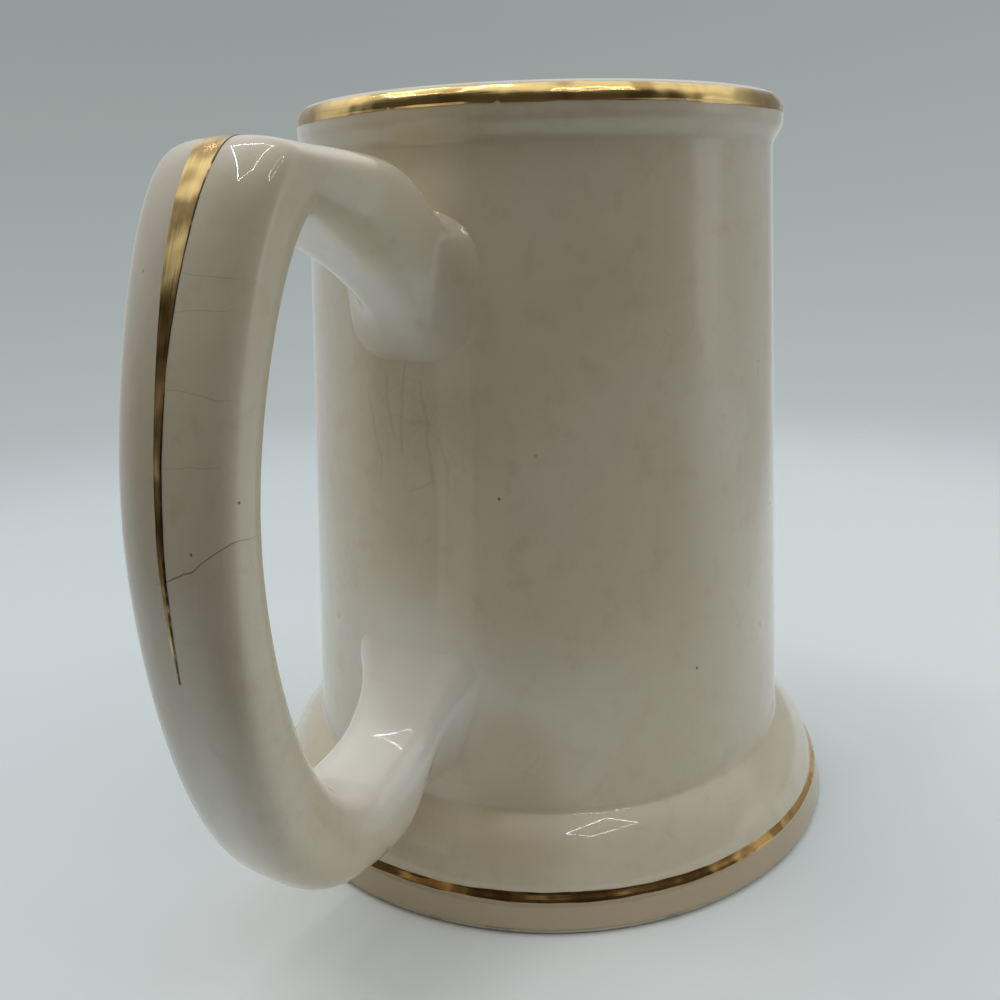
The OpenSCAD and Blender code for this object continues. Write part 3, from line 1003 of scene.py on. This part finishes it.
@dataclass
class HandleShape:
    """The handle's swept section, in millimetres: a rounded box between its two rails."""

    body: BodyShape
    crest_drop: float = 7.6
    crest_out: float = 32.2
    crest_depth: float = 9.6
    crest_lean: float = 6.2
    handle_out: float = 46.1
    grip_depth: float = 9.5
    heel_h: float = 16.7
    heel_out: float = 25.0
    heel_depth: float = 11.3
    heel_lean: float = 10.1
    upper_root_drop: float = 20.4
    upper_root_h: float = 17.2
    lower_root_z: float = 22.3
    lower_root_h: float = 18.4
    back_angles: tuple[float, ...] = (57.0, 5.0, -90.0, -171.0, -206.0)
    back_pulls: tuple[tuple[float, float], ...] = ((0.45, 0.65), (0.13, 0.39), (0.33, 0.3), (0.75, 0.48))
    back_widths: tuple[float, ...] = (20.2, 23.2, 19.7, 18.4, 9.0)
    under_angles: tuple[float, ...] = (66.0, 20.0, -90.0, -195.0, -229.0)
    under_pulls: tuple[tuple[float, float], ...] = ((0.35, 0.37), (0.07, 0.54), (0.49, 0.23), (0.51, 0.63))
    under_widths: tuple[float, ...] = (11.6, 19.6, 18.2, 17.0, 20.4)
    squareness: float = 3.0
    root_sink: float = 1.15
    slip_spread: float = 2.8
    slip_climb: float = 8.4
    fillet_spread: float = 1.3
    fillet_climb: float = 2.6
    unevenness: float = 0.12
    waves: Waves = ((1.0, 3.1, 2.0, 0.4), (1.0, 7.3, -1.0, 1.1), (0.6, 11.0, 3.0, 0.0))
    root_search: tuple[float, float] = (-0.25, 0.95)
    search_steps: int = 1600
    columns: int = 112
    arm_rows: int = 260
    joint_rows: int = 14

    def __post_init__(self) -> None:
        """Places the stations of both rails from the sizes."""
        body = self.body
        crest_z = body.height - self.crest_drop
        grip_z = 0.5 * (crest_z + self.heel_h)
        upper = body.height - self.upper_root_drop
        under = upper - self.upper_root_h
        lower_top = self.lower_root_z + self.lower_root_h
        crest = np.array([body.wall_top_r + self.crest_out, crest_z])
        grip = np.array([body.wall_radius(grip_z) + self.handle_out, grip_z])
        heel = np.array([body.wall_foot_r + self.heel_out, self.heel_h])
        self.back = Rail(
            np.array([[body.wall_radius(upper) - self.root_sink, upper], crest, grip, heel,
                      [body.wall_radius(self.lower_root_z) - self.root_sink, self.lower_root_z]]),
            np.array(self.back_angles), np.array(self.back_pulls))
        self.under = Rail(
            np.array([[body.wall_radius(under) - self.root_sink, under],
                      crest - [self.crest_lean, self.crest_depth],
                      grip - [self.grip_depth, 0.0],
                      heel + [-self.heel_lean, self.heel_depth],
                      [body.wall_radius(lower_top) - self.root_sink, lower_top]]),
            np.array(self.under_angles), np.array(self.under_pulls))

    def half_width(self, widths: tuple[float, ...], station: Array) -> Array:
        """Half the width of one side of the section.

        Args:
            widths: The side's full width at each of the five stations.
            station: Where to work it out.

        Returns:
            Half the width, eased from one station to the next.
        """
        held = np.clip(station, 0.0, LAST_STATION)
        span = np.minimum(held.astype(int), LAST_STATION - 1)
        table = np.array(widths)
        return 0.5 * (table[span] + (table[span + 1] - table[span]) * ease(held - span))

    def slip(self, station: Array) -> Array:
        """How far the slip at the joints swells the section.

        Args:
            station: Stations along the handle.

        Returns:
            spread * (1 - distance / climb)^2, with the distance taken from the nearer root.
        """
        held = np.clip(station, 0.0, LAST_STATION)
        root = np.where(held < 0.5 * LAST_STATION, 0, LAST_STATION)
        middle = self.back.at(held) + self.under.at(held) - self.back.points[root] - self.under.points[root]
        distance = 0.5 * np.linalg.norm(middle, axis=-1)
        return self.slip_spread * np.clip(1.0 - distance / self.slip_climb, 0.0, None) ** 2

    def surface(self, station: Array, back_share: Array, side: Array) -> Array:
        """Points of the handle from their place in its section, swollen by the slip near the roots.

        Args:
            station: Station along the handle.
            back_share: -1 on the finger side, 1 on the back.
            side: -1 to 1 across the width.

        Returns:
            X, Y and Z of each point.
        """
        share = 0.5 * (1.0 + back_share)
        under, back = self.under.at(station), self.back.at(station)
        grow = self.slip(station)
        spoke = unit(back - under) * grow[..., None]
        middle = under - spoke + (back - under + 2.0 * spoke) * share[..., None]
        wide, narrow = self.half_width(self.back_widths, station), self.half_width(self.under_widths, station)
        across = (narrow + (wide - narrow) * share + grow) * side
        return np.stack([middle[..., 0], across, middle[..., 1]], axis=-1)

    def rings(self, station: Array, angle: Array) -> Array:
        """Points of the handle on its true section.

        Args:
            station: Station of each point.
            angle: Its angle round the section.

        Returns:
            X, Y and Z of each point. The section is a superellipse: |u|^n + |v|^n = 1, with
            n its squareness.
        """
        cosine, sine = np.cos(angle), np.sin(angle)
        power = self.squareness
        reach = (np.abs(cosine) ** power + np.abs(sine) ** power) ** (-1.0 / power)
        return self.surface(station, reach * cosine, reach * sine)

    def wall_distance(self, points: Array) -> Array:
        """How far points lie outside the body's wall.

        Args:
            points: X, Y and Z of each point.

        Returns:
            The distance of each, measured level.
        """
        height = points[..., 2]
        angle = np.arctan2(points[..., 1], points[..., 0])
        wall = self.body.wall_radius(height) - self.body.unevenness_at(angle, height)
        return np.hypot(points[..., 0], points[..., 1]) - wall

    def onto_level(self, points: Array, level: Array) -> Array:
        """Moves points level, towards or away from the axis.

        Args:
            points: X, Y and Z of each point.
            level: Distance outside the wall that each of them ends at.

        Returns:
            The moved points.
        """
        radius = np.hypot(points[..., 0], points[..., 1])
        scale = 1.0 + (level - self.wall_distance(points)) / radius
        moved = points.copy()
        moved[..., :2] *= scale[..., None]
        return moved

    def crossings(self, stations: Array, angle: Array, levels: Array) -> Array:
        """Stations at which each column of the handle reaches each distance from the wall.

        Args:
            stations: Fine stations that start inside the wall and leave it.
            angle: Angle of each column.
            levels: Distances from the wall.

        Returns:
            Levels by columns, by straight-line interpolation between the fine stations.
        """
        grid_s, grid_a = np.meshgrid(stations, angle, indexing="ij")
        distance = self.wall_distance(self.rings(grid_s, grid_a))
        after = np.argmax(distance[None] >= levels[:, None, None], axis=1)
        after = np.maximum(after, 1)
        column = np.arange(angle.size)[None, :]
        high, low = distance[after, column], distance[after - 1, column]
        share = np.clip((levels[:, None] - low) / (high - low), 0.0, 1.0)
        return stations[after - 1] + share * (stations[after] - stations[after - 1])

    def normals(self, station: Array, angle: Array) -> Array:
        """Outward directions of the swept surface.

        Args:
            station: Station of each point.
            angle: Its angle round the section.

        Returns:
            Unit vectors, worked out from small steps along and round the surface.
        """
        along = self.rings(station + SMALL_STEP, angle) - self.rings(station - SMALL_STEP, angle)
        around = self.rings(station, angle + SMALL_STEP) - self.rings(station, angle - SMALL_STEP)
        return unit(np.cross(along, around))

    def coat(self) -> Array:
        """The glazed surface of the whole handle, from the wall round and back to the wall.

        Near each root the rings follow the wall at fixed distances, and spread out along the
        wall in a quarter of an ellipse, so that the glaze runs into the wall with no edge.

        Returns:
            Rows by columns by 3.
        """
        angle = np.linspace(0.0, FULL_TURN, self.columns, endpoint=False)
        turn = np.linspace(0.0, 0.5 * math.pi, self.joint_rows)
        levels = self.fillet_climb * (1.0 - np.cos(turn))
        search = np.linspace(*self.root_search, self.search_steps)
        upper = self.crossings(search, angle, levels)
        lower = self.crossings(LAST_STATION - search, angle, levels)
        share = np.linspace(0.0, 1.0, self.arm_rows)[1:-1, None]
        middle = upper[-1:] + (lower[-1:] - upper[-1:]) * share
        station = np.concatenate([upper, middle, lower[::-1]])
        level = np.concatenate([levels, np.full(middle.shape[0], self.fillet_climb), levels[::-1]])
        angles = np.broadcast_to(angle[None, :], station.shape)
        points = self.rings(station, angles)
        normal = self.normals(station, angles)
        points = points - self.dents(station, angles)[..., None] * normal
        climb_left = 1.0 - level / self.fillet_climb
        spread = self.fillet_spread * (1.0 - np.sqrt(np.clip(1.0 - climb_left ** 2, 0.0, 1.0)))
        wall_normal = unit(points * [1.0, 1.0, 0.0])
        sideways = unit(normal - np.sum(normal * wall_normal, axis=-1, keepdims=True) * wall_normal)
        points = points + sideways * spread[:, None, None]
        flared = self.onto_level(points, np.broadcast_to(level[:, None], station.shape))
        joint = np.zeros(station.shape[0], dtype=bool)
        joint[:self.joint_rows] = True
        joint[-self.joint_rows:] = True
        return np.where(joint[:, None, None], flared, points)

    def dents(self, station: Array, angle: Array) -> Array:
        """How far the handle's surface lies inside its true section.

        Args:
            station: Station of each point.
            angle: Its angle round the section.

        Returns:
            Slow uneven waves, which die out in the slip at the joints.
        """
        clear = ease(1.0 - self.slip(station) / self.slip_spread)
        return self.unevenness * rolling(station, angle, self.waves) * clear ** 2

    def stripe(self, station: Array, offset: Array, lift: float) -> Array:
        """Points on the handle's back.

        Args:
            station: Station along the handle.
            offset: Distance from the middle of the back.
            lift: Distance outside the glaze.

        Returns:
            X, Y and Z of each point.
        """
        side = offset / self.half_width(self.back_widths, station)
        back_share = (1.0 - np.abs(side) ** self.squareness) ** (1.0 / self.squareness)
        points = self.surface(station, back_share, side)
        angle = np.arctan2(side, back_share)
        normal = self.normals(station, angle)
        return points + (lift - self.dents(station, angle))[..., None] * normal


# ---------------------------------------------------------------- pieces


class Wear(Enum):
    """Which way a gold band runs, and so which way its brush marks are drawn out."""

    ROUND = (0.10, 0.10, 2.4)
    DOWN = (0.12, 2.4, 0.12)


@dataclass
class GlazeCoats:
    """The glaze on the outside, on the lining and under the foot."""

    body: BodyShape
    columns: int = 288
    disc_columns: int = 144
    disc_rows: int = 26
    disc_fall: float = 0.10
    disc_fade: float = 6.0
    disc_waves: Waves = ((1.0, 0.22, 2.0, 0.0),)

    def build(self) -> dict[str, bpy.types.Object]:
        """Makes the three coats.

        Returns:
            The pieces, by the frame node that each stands for.
        """
        body = self.body
        outer = shell("ivory_coat_outside", body.revolve(body.outline(0.0), self.columns),
                      body.revolve(body.outline(body.glaze), self.columns), True)
        lining = shell("ivory_coat_lining", body.revolve(body.lining(0.0), self.columns),
                       body.revolve(body.lining(body.glaze), self.columns), True)
        below = shell("ivory_coat_underside", self.underside(body.recess_depth),
                      self.underside(body.recess_depth + body.glaze), True)
        return {"outer_glaze": outer, "inner_glaze": lining, "underside_glaze": below}

    def underside(self, height: float) -> Array:
        """A disc that fills the recess under the foot.

        Args:
            height: Height of its edge.

        Returns:
            Rows by columns by 3: slow waves that fade in from the edge.
        """
        radius = np.linspace(self.body.recess_r, 0.0, self.disc_rows)[:, None]
        angle = np.linspace(0.0, FULL_TURN, self.disc_columns, endpoint=False)[None, :]
        inward = ease((self.body.recess_r - radius) / self.disc_fade)
        fall = self.disc_fall * rolling(radius, angle, self.disc_waves) * inward
        spread = np.broadcast_arrays(radius * np.cos(angle), radius * np.sin(angle), height + fall)
        return np.stack(spread, axis=-1)


@dataclass
class HandleCoat:
    """The glaze on the handle, which runs into the wall at both joints."""

    shape: HandleShape
    bury: float = 0.25

    def build(self) -> bpy.types.Object:
        """Makes the coat as a closed shell with both ends just inside the wall's glaze.

        Returns:
            The piece.
        """
        surface = self.shape.coat()
        buried = np.full(surface.shape[1], -self.bury)
        ends = [self.shape.onto_level(surface[row], buried) for row in (0, -1)]
        outside = np.concatenate([ends[0][None], surface, ends[1][None]])
        along = np.gradient(outside, axis=0)
        around = np.roll(outside, -1, axis=1) - np.roll(outside, 1, axis=1)
        outward = unit(np.cross(along, around)) * self.shape.body.glaze
        return shell("ivory_coat_handle", outside, outside - outward, True)


@dataclass
class RimGold:
    """Gold lustre round the rim, brushed on by hand, so its lower edge wanders and has nicks."""

    body: BodyShape
    low_z: float = 122.4
    high_z: float = 124.75
    wander: Ripples = ((3, 0.10, 0.3), (7, 0.05, 1.2), (19, 0.035, 2.1), (43, 0.02, 0.9))
    upper_shift: float = 2.0
    nicks: tuple[tuple[float, float, float], ...] = (
        (59.1, 0.9, 0.4), (22.4, 0.8, 0.35), (359.4, 0.8, 0.35), (140.0, 1.0, 0.4), (255.0, 0.9, 0.4))
    thickness: float = 0.05
    columns: int = 900
    rows: int = 13

    def build(self) -> bpy.types.Object:
        """Makes the band as a thin closed ring that lies half in the glaze.

        Returns:
            The piece.
        """
        angle = np.linspace(0.0, FULL_TURN, self.columns, endpoint=False)
        low = self.body.length_at(self.low_z) + ripple(angle, self.wander)
        for where, width, depth in self.nicks:
            apart = np.abs((angle - math.radians(where) + math.pi) % FULL_TURN - math.pi)
            low = low + depth * ease(1.0 - apart / math.radians(width))
        high = self.body.length_at(self.high_z) + ripple(angle + self.upper_shift, self.wander)
        outside = self.body.band(low, high, self.rows, self.thickness)
        inside = self.body.band(low, high, self.rows, -self.thickness)
        return shell("gold_rim_band", outside, inside, True)


@dataclass
class FootGold:
    """A fine gold line on the step between the foot's shoulder and its plinth."""

    body: BodyShape
    overlap: float = 0.12
    wander: Ripples = ((4, 0.07, 1.3), (9, 0.05, 0.2), (23, 0.04, 1.7), (57, 0.025, 0.4))
    upper_shift: float = 1.0
    thickness: float = 0.05
    columns: int = 900
    rows: int = 7

    def build(self) -> bpy.types.Object:
        """Makes the line as a thin closed ring that lies half in the glaze.

        Returns:
            The piece.
        """
        angle = np.linspace(0.0, FULL_TURN, self.columns, endpoint=False)
        low = self.body.length_at(self.body.plinth_h) - self.overlap + ripple(angle, self.wander)
        high = self.body.length_at(self.body.step_h) + self.overlap
        high = high + ripple(angle + self.upper_shift, self.wander)
        outside = self.body.band(low, high, self.rows, self.thickness)
        inside = self.body.band(low, high, self.rows, -self.thickness)
        return shell("gold_foot_line", outside, inside, True)


@dataclass
class HandleGold:
    """The gold stripe down the handle's back: square at the crest, drawn out to a point below."""

    shape: HandleShape
    start: float = 0.985
    tip: float = 2.2
    heights: tuple[float, ...] = (118.0, 112.0, 106.0, 98.0, 93.0, 84.0, 71.0, 61.0, 53.0)
    widths: tuple[float, ...] = (4.7, 4.0, 3.3, 2.3, 1.7, 1.4, 1.15, 0.7, 0.1)
    wander: Ripples = ((38, 0.05, 0.0), (91, 0.03, 1.0))
    steady_w: float = 0.5
    thickness: float = 0.05
    rows: int = 260
    columns: int = 11

    def build(self) -> bpy.types.Object:
        """Makes the stripe as a thin closed ribbon that lies half in the glaze.

        It wanders from the middle line, and less where half its width is under steady_w.

        Returns:
            The piece.
        """
        station = np.linspace(self.start, self.tip, self.rows)[:, None]
        height = self.shape.back.at(station[:, 0])[:, 1]
        half = 0.5 * np.interp(height, self.heights[::-1], self.widths[::-1])[:, None]
        across = np.linspace(-1.0, 1.0, self.columns)[None, :]
        offset = across * half + ripple(station, self.wander) * np.minimum(half, self.steady_w)
        stations = np.broadcast_to(station, offset.shape)
        outside = self.shape.stripe(stations, offset, self.thickness)
        inside = self.shape.stripe(stations, offset, -self.thickness)
        return shell("gold_handle_stripe", outside, inside, False)


# ---------------------------------------------------------------- surroundings


@dataclass(frozen=True)
class RingLamp:
    """A lamp of four thin strips round a window in the tent's roof.

    Corners are in metres, in the floor's plane, in order round the window.
    """

    name: str
    height: float
    corners: tuple[tuple[float, float], ...]
    radiance: float
    width: float = 0.0035

    def build(self) -> None:
        """Makes one strip from each corner to the next, all of them facing down."""
        for number, (start, end) in enumerate(zip(self.corners, self.corners[1:] + self.corners[:1])):
            along = Vector((end[0] - start[0], end[1] - start[1], 0.0))
            data = bpy.data.lights.new(f"{self.name}_{number}", "AREA")
            data.shape = "RECTANGLE"
            data.size, data.size_y = along.length, self.width
            data.energy = self.radiance * math.pi * along.length * self.width
            lamp = bpy.data.objects.new(data.name, data)
            lamp.location = (0.5 * (start[0] + end[0]), 0.5 * (start[1] + end[1]), self.height)
            lamp.rotation_euler = (0.0, 0.0, math.atan2(along.y, along.x))
            lamp.visible_camera = False
            bpy.context.scene.collection.objects.link(lamp)


@dataclass
class Surroundings:
    """The inside of a white light tent: pale floor, white walls, ring lamps above, an open front.

    Front is the azimuth of the tent's opening, in degrees. The paper floor ends where the tent opens.
    Its sizes are in metres. The washes over the tent's walls follow directions from its middle.
    The paper is painted lighter towards the right and in a pool in front of the mug, as painted light.
    """

    front: float = 22.0
    floor_back: float = 0.06
    floor_r: float = 0.32
    floor_clear_r: float = 0.15
    floor_front: tuple[float, float] = (0.11, 0.17)
    # Paper colours: lighter to the right and in a pool near the mug, as painted light.
    floor_left: Colour = (0.765, 0.84, 0.875)
    floor_right: Colour = (0.88, 0.95, 0.975)
    painted_light_floor: Colour = (0.96, 0.98, 0.99)
    floor_segments: int = 128
    near: Patch = Patch((64.0, 22.0, 0.0), 75.0, 0.65)
    backdrop: tuple[tuple[float, Colour], ...] = (
        (-0.29, (0.575, 0.635, 0.655)), (-0.24, (0.50, 0.555, 0.57)), (-0.19, (0.43, 0.48, 0.482)),
        (-0.09, (0.376, 0.424, 0.418)), (0.0, (0.342, 0.386, 0.376)), (0.16, (0.300, 0.330, 0.326)))
    backdrop_right: Colour = (0.72, 0.78, 0.80)
    paled_right: Wash = Wash(-0.5, 0.5, 0.08)
    left_wall: Colour = (0.54, 0.56, 0.56)
    right_wall: Colour = (0.60, 0.62, 0.62)
    wall_right: Wash = Wash(-0.2, 0.6)
    roof: Colour = (0.93, 0.94, 0.93)
    roof_above: Wash = Wash(0.3, 0.65)
    room: Colour = (0.056, 0.049, 0.038)
    open_ahead: Wash = Wash(-0.1, 0.35)
    open_below: Wash = Wash(0.96, 0.68)
    far_corner: Colour = (0.34, 0.36, 0.36)
    corner_way: Place = (-0.90, 0.41, 0.14)
    corner_shown: Wash = Wash(0.82, 0.95, 0.9)
    lamp_glow: Colour = (1.1, 1.1, 1.08)
    glow_way: Place = (-0.42, 0.906, 0.05)
    glow_shown: Wash = Wash(0.982, 0.998, 0.8)
    lamps: tuple[RingLamp, ...] = (
        RingLamp("left_window", 0.45,
                 ((0.048, -0.303), (0.048, -0.035), (0.259, -0.069), (0.303, -0.183)), 32.0),
        RingLamp("right_window", 0.45,
                 ((0.080, 0.204), (0.080, 0.344), (0.254, 0.300), (0.254, 0.204)), 24.0))

    def __post_init__(self) -> None:
        """Works out the two level directions that the tent is laid out along."""
        azimuth = math.radians(self.front)
        self.forward = (math.cos(azimuth), math.sin(azimuth), 0.0)
        self.rightward = (-math.sin(azimuth), math.cos(azimuth), 0.0)

    def build(self) -> None:
        """Makes the floor, the lamps and the world."""
        self._floor()
        for lamp in self.lamps:
            lamp.build()
        self._world()

    def _floor(self) -> None:
        """A disc of pale paper that fades out into the backdrop."""
        mesh = bpy.data.meshes.new("floor")
        work = bmesh.new()
        bmesh.ops.create_circle(work, cap_ends=True, segments=self.floor_segments, radius=self.floor_r)
        work.to_mesh(mesh)
        work.free()
        middle = tuple(-self.floor_back * part for part in self.forward)
        mesh.transform(Matrix.Translation(middle))
        floor = bpy.data.objects.new("floor", mesh)
        bpy.context.scene.collection.objects.link(floor)
        material, graph = new_material("paper_floor")
        outward = graph.distance(tuple(part / MM for part in middle)) * MM
        fade = outward.step(self.floor_clear_r, self.floor_r)
        ahead = graph.along(self.forward) * MM
        fade = fade.higher(ahead.step(*self.floor_front))
        # Painted light: the paper is painted lighter towards the right.
        to_right = (graph.along(self.rightward) * MM).step(-self.floor_clear_r, self.floor_clear_r)
        shade = graph.tint(self.floor_left, self.floor_right, to_right)
        # Painted light: a lighter pool on the paper in front of the mug.
        shade = graph.tint(shade, self.painted_light_floor, self.near.mask(graph, graph.place))
        paper = graph.node("ShaderNodeBsdfPrincipled", {}, {
            "Base Color": shade, "Roughness": 1.0, "Specular IOR Level": 0.0})
        clear = graph.node("ShaderNodeBsdfTransparent")
        mixed = graph.node("ShaderNodeMixShader", {}, {0: fade, 1: paper.outputs[0], 2: clear.outputs[0]})
        graph.node("ShaderNodeOutputMaterial", {}, {"Surface": mixed.outputs[0]})
        mesh.materials.append(material)

    def _world(self) -> None:
        """A plain backdrop to the eye; for light and reflections, white walls and a dark opening."""
        world = bpy.data.worlds.new("tent_air")
        world.use_nodes = True
        bpy.context.scene.world = world
        graph = Graph(world.node_tree, "Generated", 1.0)
        height = graph.along(UP)
        stops = [(position + 0.5, colour) for position, colour in self.backdrop]
        ramp = graph.node("ShaderNodeValToRGB", {"stops": stops}, {0: height + 0.5})
        rightward = graph.along(self.rightward)
        around = graph.tint(self.left_wall, self.right_wall, self.wall_right.share(rightward))
        around = graph.tint(around, self.roof, self.roof_above.share(height))
        opening = self.open_ahead.share(graph.along(self.forward)) * self.open_below.share(height)
        around = graph.tint(around, self.room, opening)
        around = graph.tint(around, self.far_corner, self.corner_shown.share(graph.along(self.corner_way)))
        around = graph.tint(around, self.lamp_glow, self.glow_shown.share(graph.along(self.glow_way)))
        path = graph.node("ShaderNodeLightPath")
        paled = graph.tint(ramp.outputs[0], self.backdrop_right, self.paled_right.share(rightward))
        seen = graph.node("ShaderNodeBackground", {}, {"Color": paled})
        light = graph.node("ShaderNodeBackground", {}, {"Color": around})
        mixed = graph.node("ShaderNodeMixShader", {},
                           {0: path.outputs["Is Camera Ray"], 1: light.outputs[0], 2: seen.outputs[0]})
        graph.node("ShaderNodeOutputWorld", {}, {"Surface": mixed.outputs[0]})


@dataclass
class Viewpoint:
    """The camera: close in and above the mug, a little past the handle.

    Angles are in degrees, and the distance from the mug's axis and the height in millimetres.
    """

    azimuth: float = 30.0
    distance: float = 180.1
    height: float = 109.3
    pan: float = 2.27
    tilt: float = -16.89
    roll: float = -1.55
    lens: float = 35.1
    sensor: float = 36.0
    clip_start: float = 0.005
    shift: tuple[float, float] = (-0.0069, 0.0018)

    def build(self) -> None:
        """Places the camera and makes it the scene's own."""
        data = bpy.data.cameras.new("camera")
        data.lens = self.lens
        data.sensor_width = self.sensor
        data.clip_start = self.clip_start
        data.shift_x, data.shift_y = self.shift
        camera = bpy.data.objects.new("camera", data)
        heading = math.radians(self.azimuth + 180.0 + self.pan)
        tilt, roll = math.radians(self.tilt), math.radians(self.roll)
        forward = Vector((
            math.cos(tilt) * math.cos(heading), math.cos(tilt) * math.sin(heading), math.sin(tilt)))
        level_right = forward.cross(Vector(UP)).normalized()
        level_up = level_right.cross(forward)
        right = math.cos(roll) * level_right + math.sin(roll) * level_up
        up = right.cross(forward)
        azimuth = math.radians(self.azimuth)
        place = MM * Vector((
            self.distance * math.cos(azimuth), self.distance * math.sin(azimuth), self.height))
        camera.matrix_world = Matrix.Translation(place) @ Matrix((right, up, -forward)).transposed().to_4x4()
        bpy.context.scene.collection.objects.link(camera)
        bpy.context.scene.camera = camera


# ---------------------------------------------------------------- the mug


def dress_clay() -> None:
    """Gives the clay pieces of the frame their bare fired finish."""
    clay = BisqueFinish().dress("bare_bisque")
    for node in ("mug_body", "handle", "upper_slip_joint", "lower_slip_joint"):
        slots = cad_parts[node].material_slots
        for slot in slots:
            slot.material = clay
        log.info("%s: %d slots dressed", node, len(slots))


def stand_for(piece: bpy.types.Object, node: str, finish: bpy.types.Material) -> None:
    """Puts a piece on the mug in place of a frame node.

    Args:
        piece: The piece.
        node: Name of the frame's node.
        finish: The material it wears.
    """
    piece.data.materials.clear()
    piece.data.materials.append(finish)
    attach(piece, "root")
    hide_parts(node)
    log.info("%s stands for %s: %d faces", piece.name, node, len(piece.data.polygons))


def main() -> None:
    """Builds the mug, its surroundings and the camera."""
    logging.basicConfig(level=logging.INFO, format="%(message)s")
    bpy.context.scene.view_settings.view_transform = "Standard"
    Surroundings().build()
    Viewpoint().build()
    dress_clay()
    body = BodyShape(height=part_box("outer_glaze")[1][2] / MM)
    handle = HandleShape(body)
    glaze = GlazeFinish().dress("ivory_glaze")
    for node, piece in GlazeCoats(body).build().items():
        stand_for(piece, node, glaze)
    stand_for(HandleCoat(handle).build(), "handle_glaze", glaze)
    rim_gold = LustreFinish(
        stretch=Wear.ROUND.value, edge_z=122.35,
        # The two patches near the rim's ends are painted dark reflections.
        dark_reflection_patches=(Patch((34.5, -24.0, 123.4), 12.0, 0.75), Patch((0.0, 41.5, 123.0), 13.0, 0.75)),
    ).dress("gold_lustre_round")
    foot_gold = LustreFinish(
        bright=(0.62, 0.38, 0.14), deep=(0.20, 0.10, 0.04), stretch=Wear.ROUND.value,
    ).dress("gold_lustre_worn")
    down_gold = LustreFinish(
        # The bands between these heights are painted dark reflections.
        stretch=Wear.DOWN.value, dark_reflection_bands=((115.4, 117.1), (108.3, 111.0), (93.5, 100.4), (71.5, 80.5)),
        edged=(((0.0, 1.0, -0.05), -3.8), ((0.0, 1.0, -0.018), -1.11)),
    ).dress("gold_lustre_down")
    stand_for(RimGold(body).build(), "rim_gilding", rim_gold)
    stand_for(FootGold(body).build(), "foot_gilding", foot_gold)
    stand_for(HandleGold(handle).build(), "handle_gilding", down_gold)


if __name__ == "__main__":
    main()
